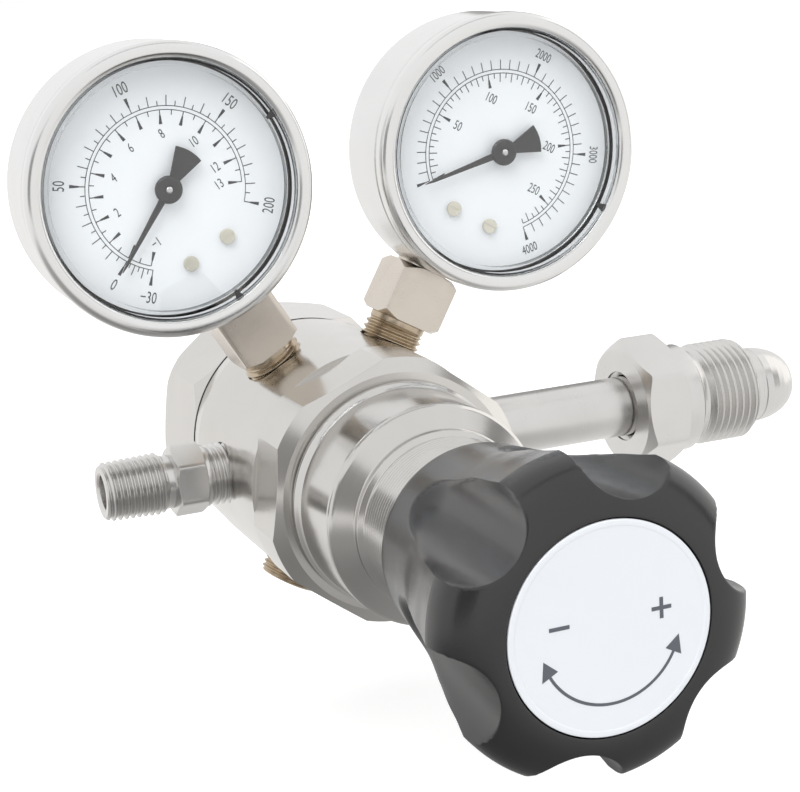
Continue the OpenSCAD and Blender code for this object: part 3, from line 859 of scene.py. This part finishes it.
@dataclass
class Bonnet:
    """The polished barrel in front of the body, with its rings and threaded neck."""

    finishes: Finishes
    ring_r: float = 24.2
    groove_r: float = 22.6
    barrel_r: float = 23.3
    rim_r: float = 23.1
    rim_front: float = -56.4
    collar_r: float = 18.6
    collar_front: float = -60.1
    neck_r: float = 17.9
    neck_end: float = -84.0
    cavity_r: float = 14.6
    thread_pitch: float = 1.05

    def build(self) -> None:
        """Makes the turned barrel and the neck's thread as one piece."""
        barrel = Shell("bonnet_barrel", "regulator")
        outside = eased([
            (self.cavity_r, -24.4), (20.9, -24.4), (20.9, -36.8), (self.groove_r, -36.8),
            (self.groove_r, -37.2), (self.ring_r - 0.5, -37.3), (self.ring_r, -37.8), (self.ring_r, -38.8),
            (self.barrel_r + 0.3, -39.7), (self.barrel_r, -40.4), (self.barrel_r - 0.2, -54.6),
            (self.rim_r - 0.1, -55.2), (self.rim_r, self.rim_front + 0.3),
            (self.rim_r - 0.6, self.rim_front - 0.3), (self.collar_r + 0.2, -58.5), (self.collar_r, -58.7),
            (self.collar_r, self.collar_front),
            (self.neck_r - 0.5, self.collar_front - 0.5), (self.neck_r - 0.6, self.collar_front - 1.2)], 0.18)
        barrel.turned(MAIN, outside, 192)
        start, end = -self.collar_front + 1.2, -self.neck_end
        flipped = Axis(PORT_CENTRE, (0, -1, 0), (1, 0, 0), (0, 0, 1))
        barrel.threaded(flipped, start, end, self.thread_pitch, 0.55, lambda s: self.neck_r,
                        lambda s: min(self.neck_r - 0.6 + (s - start) * 0.9, self.neck_r - 1.0 + end - s),
                        192)
        barrel.turned(MAIN, [(self.neck_r - 1.0, self.neck_end), (6.05, self.neck_end), (6.05, -74.0),
                             (self.cavity_r, -74.0), (self.cavity_r, -24.4)], 96)
        barrel.finish(self.finishes.metal(Finishes.BARREL, MAIN, "main"), "bonnet", slot="polished_steel")


@dataclass
class ControlKnob:
    """The lobed plastic knob and its label disc."""

    finishes: Finishes
    crest_r: float = 29.6
    crest: float = -120.3
    face_r: float = 20.5
    front: float = -130.0
    dome_power: float = 0.65
    dome_steps: int = 36
    lobes: int = 6
    scoop_r: float = 9.9
    scoop_axis: float = 31.0
    scoop_at: float = -110.0
    scoop_lean: float = 0.06
    scoop_from: float = -94.5
    scoop_run: float = 1.5
    scoop_turn: float = 18.4
    scoop_edge: float = 0.8
    label_r: float = 19.05
    label_seat: float = 0.9
    arrow_r: float = 13.2
    arrow_ends: Pair = (208.0, 332.0)
    sign_x: float = 9.6
    sign_z: float = 2.0
    around: int = 480

    SKIRT = ((19.6, -75.8), (20.1, -77.5), (21.3, -86.0), (22.9, -95.0), (25.3, -103.0), (27.2, -110.0),
             (28.4, -115.5))
    BORE = ((19.6, -75.8), (18.8, -75.8), (18.5, -76.8), (18.5, -98.0), (9.0, -98.0), (9.0, -118.5),
            (0.01, -118.5))

    def build(self) -> None:
        """Makes the knob, the label disc and its marks."""
        self._moulding()
        self._label()
        self._label_marks()

    def _scoop_limit(self, angle: float, station: float) -> float:
        """Radius at which the finger scoops cut a ray from the axis.

        Args:
            angle: The ray's angle round the knob, in radians.
            station: Where along the knob the ray starts.

        Returns:
            The radius, or infinity where no scoop is met.
        """
        step = TAU / self.lobes
        off = (angle - math.radians(self.scoop_turn) + step / 2) % step - step / 2
        axis = self.scoop_axis - self.scoop_lean * (station - self.scoop_at)
        run_out = max(station - self.scoop_from, 0.0) / self.scoop_run
        inside = self.scoop_r ** 2 - run_out ** 2 - (axis * math.sin(off)) ** 2
        return axis * math.cos(off) - math.sqrt(inside) if inside > 0 else math.inf

    def _outline(self) -> list[Pair]:
        """Radius and station of the turned form, from the skirt's rear edge to the flat of the face."""
        outline = curve_through([*self.SKIRT, (self.crest_r, self.crest)], 18)
        for i in range(1, self.dome_steps + 1):
            a = math.radians(90.0 * i / self.dome_steps)
            outline.append((self.face_r + (self.crest_r - self.face_r) * math.cos(a),
                            self.crest - (self.crest - self.front) * math.sin(a) ** self.dome_power))
        return outline

    def _moulding(self) -> None:
        """The bell-shaped moulding with a domed front and six scoops."""
        knob = Shell("knob_moulding", "knob_and_screw", sharp=38.0)
        n = self.around
        turns = [TAU * i / n for i in range(n)]
        rows = [[MAIN.at(smooth_least(r, self._scoop_limit(a, s), self.scoop_edge), a, s) for a in turns]
                for r, s in self._outline()]
        wall, seat = self.label_r + 0.3, self.front + self.label_seat
        lip = eased([(self.face_r - 0.2, self.front), (wall, self.front), (wall, seat),
                     (self.label_r - 1.0, seat), (0.01, seat)], 0.15)
        rows.extend([MAIN.at(r, a, s) for a in turns] for r, s in lip)
        knob.rows(rows)
        knob.turned(MAIN, eased(self.BORE, 0.3), n)
        knob.finish(self.finishes.plain(BLACK_PLASTIC), "knob", slot="black_plastic")

    def _label(self) -> None:
        """The plain disc in the knob's face, with a raised rim."""
        disc = Shell("knob_label_disc", "knob_and_screw")
        r, top = self.label_r, self.front - 0.1
        disc.turned(MAIN, eased([(r - 0.3, self.front + 0.85), (r, self.front + 0.6), (r, top + 0.12),
                                 (r - 0.25, top), (r - 1.0, top), (r - 1.2, top + 0.1), (0.01, top + 0.1)],
                                0.1), 192)
        disc.finish(self.finishes.plain(LABEL_FACE), "knob_label", slot="label")

    def _label_marks(self) -> None:
        """A turning arrow with a head at each end, a minus and a plus."""
        ink = Print("knob_label_marks", "knob_and_screw", MAIN, self.front - 0.03)
        ink.arc(self.arrow_r, 0.55, *self.arrow_ends)
        for tip, way in zip(self.arrow_ends, (-1.0, 1.0)):
            a = math.radians(tip)
            ink.mark([polar(self.arrow_r, a + way * 0.24), polar(self.arrow_r + 1.7, a),
                      polar(self.arrow_r - 1.7, a)])
        for x in (-self.sign_x, self.sign_x):
            ink.mark(rectangle(x, self.sign_z, 1.9, 0.36))
        ink.mark(rectangle(self.sign_x, self.sign_z, 0.36, 1.9), lift=0.004)
        ink.finish(self.finishes.plain(LABEL_INK))


@dataclass
class InletFitting:
    """The nut on the inlet tube, with its hexagon and cylinder thread."""

    finishes: Finishes
    flats: float = 28.6
    turn: float = -36.0
    rear: float = 72.6
    shoulder: float = 84.0
    collar_r: float = 12.9
    relief_r: float = 11.0
    thread_from: float = 91.0
    thread_r: float = 12.25
    pitch: float = 1.814
    front: float = 104.7
    mouth_r: float = 9.7
    bore_r: float = 7.41
    rear_bore_r: float = 8.4

    def build(self) -> None:
        """Makes the nut as one piece about the inlet axis."""
        nut = Shell("inlet_nut_threaded", "inlet_nut", sharp=20.0)
        nut.flats(INLET, 6, self.flats, self.turn, self.rear, self.shoulder, 13.7, 14.0, slope=0.6,
                  corner=0.5, bore=(self.rear_bore_r, self.collar_r))
        nut.turned(INLET, eased([
            (self.collar_r, self.shoulder), (self.collar_r, 88.3), (self.relief_r + 0.2, 89.4),
            (self.relief_r, 90.6), (self.relief_r, self.thread_from)], 0.2))
        nut.threaded(INLET, self.thread_from, self.front, self.pitch, 1.05, lambda s: self.thread_r,
                     lambda s: min(self.relief_r + (s - self.thread_from) * 1.1,
                                   self.thread_r + self.front - 1.2 - s))
        nut.turned(INLET, [
            (self.relief_r + 0.05, self.front), (self.mouth_r, self.front), (self.mouth_r, 102.6),
            (self.bore_r, 100.2), (self.bore_r, 74.0), (self.rear_bore_r, 73.2),
            (self.rear_bore_r, self.rear)])
        nut.finish(self.finishes.metal(Finishes.MILLED, INLET, "inlet"), "inlet_nut", slot="satin_steel")


@dataclass
class OutletFitting:
    """The small threaded nipple on the outlet side."""

    finishes: Finishes
    neck_r: float = 6.84
    neck_end: float = 31.3
    hexagon: Pair = (32.8, 39.6)
    flats: float = 14.3
    turn: float = 33.0
    waist_r: float = 5.9
    thread_from: float = 41.6
    thread_r: float = 6.86
    taper_from: float = 43.0
    taper: float = 0.062
    reach: float = 55.2
    bore_r: float = 3.8

    def build(self) -> None:
        """Makes the nipple as one piece about the outlet axis."""
        nipple = Shell("outlet_nipple_threaded", "regulator")
        rear, front = self.hexagon
        nipple.turned(OUTLET, eased([(self.bore_r, PORT_FLOOR), (self.neck_r, PORT_FLOOR),
                                     (self.neck_r, PORT_MOUTH)], 0.2))
        nipple.threaded(OUTLET, PORT_MOUTH, self.neck_end, PIPE_PITCH, 0.7, lambda s: self.neck_r,
                        lambda s: self.neck_r - max(0.0, s - self.neck_end + 0.6) * 0.8)
        nipple.turned(OUTLET, eased([(6.36, self.neck_end), (6.5, 31.6), (6.9, 31.9), (6.9, rear),
                                     (6.6, rear)], 0.12))
        nipple.flats(OUTLET, 6, self.flats, self.turn, rear, front, 7.15, 7.15, slope=0.6, corner=0.3,
                     bore=(6.6, self.waist_r))
        nipple.turned(OUTLET, eased([(self.waist_r, front), (self.waist_r, self.thread_from - 0.3),
                                     (self.waist_r + 0.1, self.thread_from)], 0.15))
        nipple.threaded(
            OUTLET, self.thread_from, self.reach, PIPE_PITCH, 0.78,
            lambda s: self.thread_r - max(0.0, s - self.taper_from) * self.taper / 2,
            lambda s: min(self.waist_r + 0.1 + (s - self.thread_from) * 0.9, 5.7 + (self.reach - s) * 0.9))
        nipple.turned(OUTLET, eased([(5.7, self.reach), (self.bore_r + 0.5, self.reach),
                                     (self.bore_r, self.reach - 0.5), (self.bore_r, PORT_FLOOR)], 0.1))
        nipple.finish(self.finishes.metal(Finishes.MILLED, OUTLET, "outlet"), "outlet_nipple",
                      slot="satin_steel")


@dataclass(frozen=True)
class Scale:
    """One ring of marks on a dial. Angles are in degrees about the dial's own axes."""

    line_r: float
    tick_r: float
    minor_r: float
    fat_from: float
    fat_to: float
    number_r: float
    number_height: float
    start: float
    per_unit: float
    first: float
    last: float
    minor: float
    tick: float
    fat: float
    numbers: tuple[float, ...]
    radial: bool = True

    def degrees(self, value: float) -> float:
        """Where a value stands on the dial, in degrees."""
        return self.start + self.per_unit * value

    def print_on(self, ink: Print) -> None:
        """Adds the ring's line, its ticks, fat marks and numbers to a print."""
        ends = sorted((self.degrees(self.first), self.degrees(self.last)))
        ink.arc(self.line_r, 0.17, *ends)
        overlap = 0.3 if self.tick_r > self.line_r else -0.3
        for k in range(round((self.last - self.first) / self.minor) + 1):
            value = self.first + k * self.minor
            a = math.radians(self.degrees(value))
            fat = falls_on(value, self.fat) or value == self.first
            reach = self.fat_from if fat else self.tick_r if falls_on(value, self.tick) else self.minor_r
            ink.bar(a, (self.line_r, 0.10), (reach, 0.10))
            if fat:
                ink.bar(a, (self.fat_from - overlap, 0.16), (self.fat_to, 0.36))
        for value in self.numbers:
            a = math.radians(self.degrees(value))
            turn = 0.0
            if self.radial:
                turn = a - math.pi / 2 if math.sin(a) > -0.3 else a + math.pi / 2
            ink.number(f"{value:g}".replace("-", "−"), self.number_height, polar(self.number_r, a), turn)


def falls_on(value: float, step: float) -> bool:
    """Whether a value is a whole number of steps."""
    return abs(value / step - round(value / step)) < 1e-6


@dataclass
class Gauge:
    """One pressure gauge: case, ring, window, dial, marks, pointer and threaded socket."""

    side: Side
    finishes: Finishes
    pointer_at: float
    scales: tuple[Scale, ...]
    square_from: float
    tabs: tuple[float, ...]
    case_r: float = 30.4
    window_r: float = 26.4
    dial_front: float = -12.6
    hand_front: float = -14.4
    hand_back: float = -14.0
    socket_flats: float = 14.3
    square_to: float = 45.9
    neck_r: float = 5.9
    thread_r: float = 6.84

    def __post_init__(self) -> None:
        """Works out the gauge's word and its two axes."""
        self.word = self.side.word
        self.stem = port_axis(STEM_LEAN * self.side.value)
        self.dial = dial_axis(self.stem)

    def build(self) -> None:
        """Makes and dresses every piece of the gauge."""
        for part, kind in (("dial_screws", Finishes.PALE_BRASS), ("bourdon_tube", Finishes.BRASS),
                           ("movement_frame", Finishes.BRASS), ("sector", Finishes.BRASS),
                           ("link", Finishes.MILLED)):
            dress_node(f"{self.word}_{part}", self._metal(kind))
        dress_node(f"{self.word}_window", self.finishes.plain(WINDOW_CLEAR))
        dress_node(f"{self.word}_dial", self.finishes.plain(DIAL_WHITE))
        self._case()
        self._ring()
        self._marks()
        self._pointer()
        self._socket()
        self._window_tabs()

    def _metal(self, kind: Metal) -> Material:
        """A metal whose turning lines run round the dial's axis."""
        return self.finishes.metal(kind, self.dial, self.word)

    def _shell(self, piece: str, body: str = "regulator") -> Shell:
        """Starts a piece whose name begins with the gauge's word."""
        return Shell(f"{self.word}_{piece}", body)

    def _case(self) -> None:
        """The drawn steel case with its large rear rounding."""
        r, rear, bend, wall = self.case_r - 0.2, 9.0, 9.0, 1.0
        case = self._shell("gauge_case")
        outer = [(0.01, rear)]
        outer += [(r - bend + bend * math.sin(a), rear - bend + bend * math.cos(a))
                  for a in (math.radians(6 * k) for k in range(16))]
        outer += [(r, -8.0), (r, -13.9), (r - 0.25, -14.2), (r - 0.25, -14.9)]
        inner = [(r - wall, -14.9), (r - wall, -6.0)]
        inner += [(r - bend + (bend - wall) * math.cos(a), rear - bend + (bend - wall) * math.sin(a))
                  for a in (math.radians(10 * k) for k in range(10))]
        inner += [(0.01, rear - wall)]
        case.turned(self.dial, outer + inner, 192)
        case.finish(self._metal(Finishes.CASE), f"{self.word}_case", slot="polished_steel")

    def _ring(self) -> None:
        """The rolled ring round the window, and a dark ring inside it that is painted shade in the gap."""
        r, w = self.case_r, self.window_r
        ring = self._shell("gauge_ring")
        ring.turned(self.dial, eased([
            (r - 1.2, -12.2), (r - 1.2, -15.0), (r - 0.15, -15.0), (r, -15.3), (r, -17.4), (r - 0.25, -18.2),
            (r - 0.9, -18.7), (r - 1.5, -18.8), (w + 1.5, -18.75), (w + 0.8, -18.4), (w + 0.5, -17.8),
            (w + 0.5, -15.1), (r - 1.7, -15.1), (r - 1.7, -12.2), (r - 1.2, -12.2)], 0.35), 192)
        ring.finish(self._metal(Finishes.CASE), f"{self.word}_bezel", slot="polished_steel")
        # A dark flat ring: painted shade in the gap between window and ring.
        gap = self._shell("ring_gap")
        gap.turned(self.dial, [(w + 0.48, -15.2), (w + 0.02, -15.2)])
        gap.finish(self.finishes.plain(DARK_JOINT_AND_SHADE))

    def _window_tabs(self) -> None:
        """Dark plates shaped as small snap tabs on the window's edge: painted shade that shows through it."""
        tabs = self._shell("window_tabs")
        outer, inner = self.window_r + 0.45, self.window_r - 1.5
        wide = 0.9 / self.window_r
        slim = wide * 0.35
        for degrees in self.tabs:
            a = math.radians(degrees)
            tabs.plate(self.dial, [polar(outer, a - wide), polar(outer, a + wide), polar(inner, a + slim),
                                   # Dark plates in the dark joint and painted shade material: painted shade
                                   # at the window's edge.
                                   polar(inner, a - slim)], -17.62, -17.52)
        tabs.finish(self.finishes.plain(DARK_JOINT_AND_SHADE))

    def _marks(self) -> None:
        """Scale lines, ticks, fat marks and numbers."""
        ink = Print(f"{self.word}_dial_marks", "regulator", self.dial, self.dial_front - 0.03)
        for scale in self.scales:
            scale.print_on(ink)
        ink.finish(self.finishes.plain(DIAL_INK))

    def _pointer(self) -> None:
        """The black pointer with its hub, fan tail and pinion shaft."""
        angle, rider = math.radians(self.pointer_at), f"{self.word}_pointer"
        hand = self._shell("gauge_pointer", rider)
        edge = [(2.0, 0.75), (8.0, 0.55), (17.5, 0.3), (19.6, 0.05)]
        blade = [(x, -y) for x, y in edge] + edge[::-1]
        tail = [(-9.1 * math.cos(b), 9.1 * math.sin(b)) for b in (math.radians(20 - 5 * k) for k in range(9))]
        for outline in (blade, [(-1.8, 0.9), *tail, (-1.8, -0.9)]):
            hand.plate(self.dial, turned_points(outline, angle), self.hand_front, self.hand_back)
        hand.turned(self.dial, eased([(0.01, -13.95), (2.9, -13.95), (2.9, -14.75), (2.6, -15.0),
                                      (0.95, -15.05), (0.8, -14.9), (0.01, -14.9)], 0.12), 64)
        hand.turned(self.dial, [(0.9, self.hand_back), (0.9, -0.6), (0.01, -0.6)], 32)
        hand.finish(self.finishes.plain(POINTER_BLACK), rider, slot="pointer_black", bevel=0.06)
        pin = self._shell("pointer_pin", rider)
        pin.turned(self.dial, eased([(0.72, -14.8), (0.72, -15.15), (0.45, -15.3), (0.01, -15.3)], 0.08), 48)
        pin.finish(self._metal(Finishes.POLISHED), slot="polished_steel")

    def _socket(self) -> None:
        """The threaded socket with its square for the spanner."""
        start, end, stem = self.square_from, self.square_to, self.stem
        socket = self._shell("gauge_socket")
        half = self.socket_flats / 2
        socket.flats(stem, 4, self.socket_flats, 45.0, start, end, half + 0.75, half + 0.4, slope=0.62,
                     corner=0.5, bore=(6.2, self.neck_r), per_side=32)
        socket.turned(stem, eased([(self.neck_r, end), (self.neck_r, 49.0), (0.01, 49.0)], 0.1))
        socket.plate(self.dial, rectangle(0.0, -23.6, 6.5, 4.0), -0.4, 5.6)
        socket.finish(self.finishes.metal(Finishes.SOCKET, stem, self.word), slot="tinted_metal")
        thread = self._shell("socket_thread")
        thread.turned(stem, [(1.4, PORT_FLOOR), (self.thread_r, PORT_FLOOR), (self.thread_r, PORT_MOUTH)])
        top, run_out_r = start - 1.6, 6.1
        thread.threaded(stem, PORT_MOUTH, top, PIPE_PITCH, 0.72, lambda s: self.thread_r,
                        lambda s: run_out_r + top - s)
        thread.turned(stem, eased([(run_out_r, top), (6.2, top + 0.1), (6.4, top + 0.3), (6.4, start - 0.1),
                                   (6.3, start + 0.1)], 0.12))
        metal = self.finishes.metal(Finishes.THREAD, stem, f"{self.word}_thread")
        thread.finish(metal, f"{self.word}_socket", slot="tinted_metal")


# Studio


def direction(azimuth: float, elevation: float) -> Vector:
    """A direction by degrees round from the front and degrees up."""
    a, e = math.radians(azimuth), math.radians(elevation)
    return Vector((math.sin(a) * math.cos(e), -math.cos(a) * math.cos(e), math.sin(e)))


def sheet(name: str, width: float, height: float, z: float, material: Material) -> Object:
    """A flat rectangle about the z axis, not yet in the scene. Sizes are in metres."""
    mesh = bpy.data.meshes.new(name)
    corners = [(x, y, z) for x, y in rectangle(0.0, 0.0, width / 2, height / 2)]
    mesh.from_pydata(corners, [], [(0, 1, 2, 3)])
    mesh.materials.append(material)
    return bpy.data.objects.new(name, mesh)


@dataclass(frozen=True)
class Card:
    """A flat card or lamp of the studio, placed by direction from the object."""

    name: str
    azimuth: float
    elevation: float
    distance: float
    width: float
    height: float
    level: float
    role: Role = Role.FLAG


@dataclass
class Studio:
    """Floor, lamps, dark flags and a bright card seen only in reflections as painted reflections, world and
    camera.
    """

    centre: tuple[float, float, float] = (-0.10, -0.04, 0.03)
    floor_z: float = -0.075
    floor_width: float = 12.0
    surround_light: float = 0.55
    view: Pair = (-21.38, 13.84)
    roll: float = -3.62
    eye: tuple[float, float, float] = (-240.88, -400.21, 116.92)
    lens: float = 86.98
    cards: tuple[Card, ...] = (
        Card("flag_camera", -46, 4, 0.9, 0.73, 0.52, 0.34),
        Card("flag_right", 62, 10, 0.9, 0.16, 0.9, 0.30),
        Card("flag_top", 10, 78, 0.9, 0.75, 0.10, 0.30),
        Card("flag_back", 150, 14, 1.0, 0.20, 0.7, 0.35),
        Card("bright_right", 92, 18, 0.9, 0.75, 0.95, 1.4),
        Card("key_lamp", -48, 52, 1.2, 0.8, 0.8, 9.0, Role.LAMP),
        Card("fill_lamp", 55, 35, 1.4, 0.9, 0.9, 4.0, Role.LAMP),
        Card("top_lamp", 0, 88, 1.2, 1.0, 1.0, 5.0, Role.LAMP),
    )

    def build(self) -> None:
        """Sets up the whole studio."""
        self._floor()
        for card in self.cards:
            self._card(card)
        self._world()
        self._camera()
        scene = bpy.context.scene
        scene.view_settings.view_transform = "Standard"

    def _floor(self) -> None:
        """A plain pale floor, darker near the object. Metal reflects it as a glow with painted shade."""
        material, n, shader = start_material("floor_white")
        shader.inputs["Base Color"].default_value = (0.92, 0.92, 0.92, 1)
        shader.inputs["Roughness"].default_value = 0.9
        seen = self._rise(n, (-0.10, -0.04), (0.25, 1.3), (0.35, 1.0))
        glow = n.add("ShaderNodeEmission", Color=(1, 1, 1, 1), Strength=seen)
        # Painted shade under and beside the object, in the glow that metal reflects in place of the lit
        # floor.
        shade_under = self._rise(n, (-0.12, -0.07), (0.05, 0.17), (0.7, 1.0))
        shade_beside = self._rise(n, (-0.23, -0.16), (0.08, 0.34), (0.4, 1.0))
        reflected_floor_shade = n.add("ShaderNodeEmission", Color=(1, 0.99, 0.975, 1),
                      Strength=n.math("MULTIPLY", shade_under, shade_beside))
        total = n.add("ShaderNodeAddShader")
        n.link(shader.outputs[0], total.inputs[0])
        n.link(glow.outputs[0], total.inputs[1])
        path = n.add("ShaderNodeLightPath").outputs
        look = n.choose(path["Is Camera Ray"], shader.outputs[0], total.outputs[0])
        n.surface(n.choose(path["Is Glossy Ray"], look, reflected_floor_shade.outputs[0]))
        obj = sheet("floor", self.floor_width, self.floor_width, self.floor_z, material)
        bpy.context.scene.collection.objects.link(obj)

    def _rise(self, n: Nodes, middle: Pair, reach: Pair, level: Pair) -> NodeSocket:
        """A level that rises with the distance from a point on the floor.

        Args:
            n: The floor material's nodes.
            middle: The point in metres.
            reach: Distances in metres between which the level rises.
            level: The level inside and outside them.

        Returns:
            The socket that carries the level.
        """
        place = n.add("ShaderNodeTexCoord").outputs["Object"]
        away = n.vector_math("DISTANCE", place, (*middle, self.floor_z)).outputs["Value"]
        rise = n.add("ShaderNodeMapRange", interpolation_type="SMOOTHSTEP", Value=away, From_Min=reach[0],
                     From_Max=reach[1], To_Min=level[0], To_Max=level[1])
        return rise.outputs[0]

    def _card(self, card: Card) -> None:
        """One card or lamp, facing the object."""
        away = direction(card.azimuth, card.elevation)
        turn = away.to_track_quat("Z", "Y")
        place = Vector(self.centre) + away * card.distance
        if card.role is Role.LAMP:
            lamp = bpy.data.lights.new(card.name, "AREA")
            lamp.shape, lamp.size, lamp.size_y, lamp.energy = "RECTANGLE", card.width, card.height, card.level
            obj = bpy.data.objects.new(card.name, lamp)
            obj.visible_glossy = False
        else:
            material, n, _ = start_material(f"card_{card.name}")
            glow = n.add("ShaderNodeEmission", Color=(1, 0.985, 0.965, 1), Strength=card.level)
            n.surface(glow.outputs[0])
            obj = sheet(card.name, card.width, card.height, 0.0, material)
            # Cards show only in reflections: painted dark reflections from the flags, a painted bright
            # reflection from bright_right.
            for ray in ("camera", "diffuse", "shadow", "transmission"):
                setattr(obj, f"visible_{ray}", False)
        obj.matrix_world = Matrix.Translation(place) @ turn.to_matrix().to_4x4()
        bpy.context.scene.collection.objects.link(obj)

    def _world(self) -> None:
        """A white surround: full strength where it is seen or reflected, less for its light."""
        world = bpy.data.worlds.new("white_surround")
        bpy.context.scene.world = world
        world.use_nodes = True
        n = Nodes(world.node_tree)
        back = world.node_tree.nodes["Background"]
        back.inputs["Color"].default_value = (1, 1, 1, 1)
        path = n.add("ShaderNodeLightPath").outputs
        seen = n.math("MAXIMUM", path["Is Camera Ray"],
                      n.math("MAXIMUM", path["Is Glossy Ray"], path["Is Transmission Ray"]))
        rest = 1.0 - self.surround_light
        n.link(n.math("ADD", n.math("MULTIPLY", seen, rest), self.surround_light), back.inputs["Strength"])

    def _camera(self) -> None:
        """The photograph's viewpoint, with its slight roll."""
        data = bpy.data.cameras.new("photo_camera")
        data.sensor_width, data.lens = 36.0, self.lens
        data.clip_start, data.clip_end = 0.05, 20.0
        obj = bpy.data.objects.new("photo_camera", data)
        bpy.context.scene.collection.objects.link(obj)
        back = direction(*self.view)
        right = Vector((0, 0, 1)).cross(back).normalized()
        up = back.cross(right)
        spin = Matrix.Rotation(math.radians(self.roll), 3, back)
        turn = Matrix((spin @ right, spin @ up, back)).transposed().to_4x4()
        obj.matrix_world = Matrix.Translation(Vector(self.eye) * MM) @ turn
        bpy.context.scene.camera = obj


def left_scales() -> tuple[Scale, ...]:
    """Marks of the left dial: the outer ring from 0 to 200, its stretch below zero, and the inner ring."""
    outer = Scale(line_r=17.05, tick_r=19.2, minor_r=18.1, fat_from=18.6, fat_to=20.3, number_r=22.5,
                  number_height=2.5, start=205.0, per_unit=-1.25, first=0.0, last=200.0, minor=5.0, tick=10.0,
                  fat=50.0, numbers=(0, 50, 100, 150, 200))
    below = replace(outer, number_r=22.8, per_unit=-0.6667, first=-30.0, last=0.0, fat=30.0, numbers=(-30,))
    inner = Scale(line_r=16.25, tick_r=15.2, minor_r=15.2, fat_from=14.9, fat_to=13.3, number_r=11.4,
                  number_height=2.1, start=205.0, per_unit=-18.13, first=-1.0, last=13.0, minor=0.5, tick=0.5,
                  fat=1.0, numbers=(-1, 2, 4, 6, 8, 10, 12, 13), radial=False)
    return outer, below, inner


def right_scales() -> tuple[Scale, ...]:
    """Marks of the right dial: the outer ring from 0 to 4000 and the inner from 0 to 275."""
    outer = Scale(line_r=17.9, tick_r=20.0, minor_r=19.3, fat_from=19.4, fat_to=21.0, number_r=23.0,
                  number_height=2.1, start=225.0, per_unit=-0.0675, first=0.0, last=4000.0, minor=100.0,
                  tick=100.0, fat=1000.0, numbers=(1000, 2000, 3000, 4000))
    inner = Scale(line_r=17.1, tick_r=15.2, minor_r=16.0, fat_from=15.6, fat_to=14.1, number_r=11.9,
                  number_height=2.1, start=225.0, per_unit=-0.979, first=0.0, last=275.0, minor=5.0,
                  tick=10.0, fat=50.0, numbers=(50, 100, 150, 200, 250), radial=False)
    return outer, inner


def main() -> None:
    """Builds every sub-assembly and the studio."""
    logging.basicConfig(level=logging.INFO, format="%(message)s")
    finishes = Finishes(Effects())
    PortBlock(finishes).build()
    Bonnet(finishes).build()
    ControlKnob(finishes).build()
    InletFitting(finishes).build()
    OutletFitting(finishes).build()
    Gauge(Side.LEFT, finishes, 205.0, left_scales(), 31.0, (267.8, 1.0)).build()
    Gauge(Side.RIGHT, finishes, 225.0, right_scales(), 33.2, (357.3,)).build()
    Studio().build()


if __name__ == "__main__":
    main()
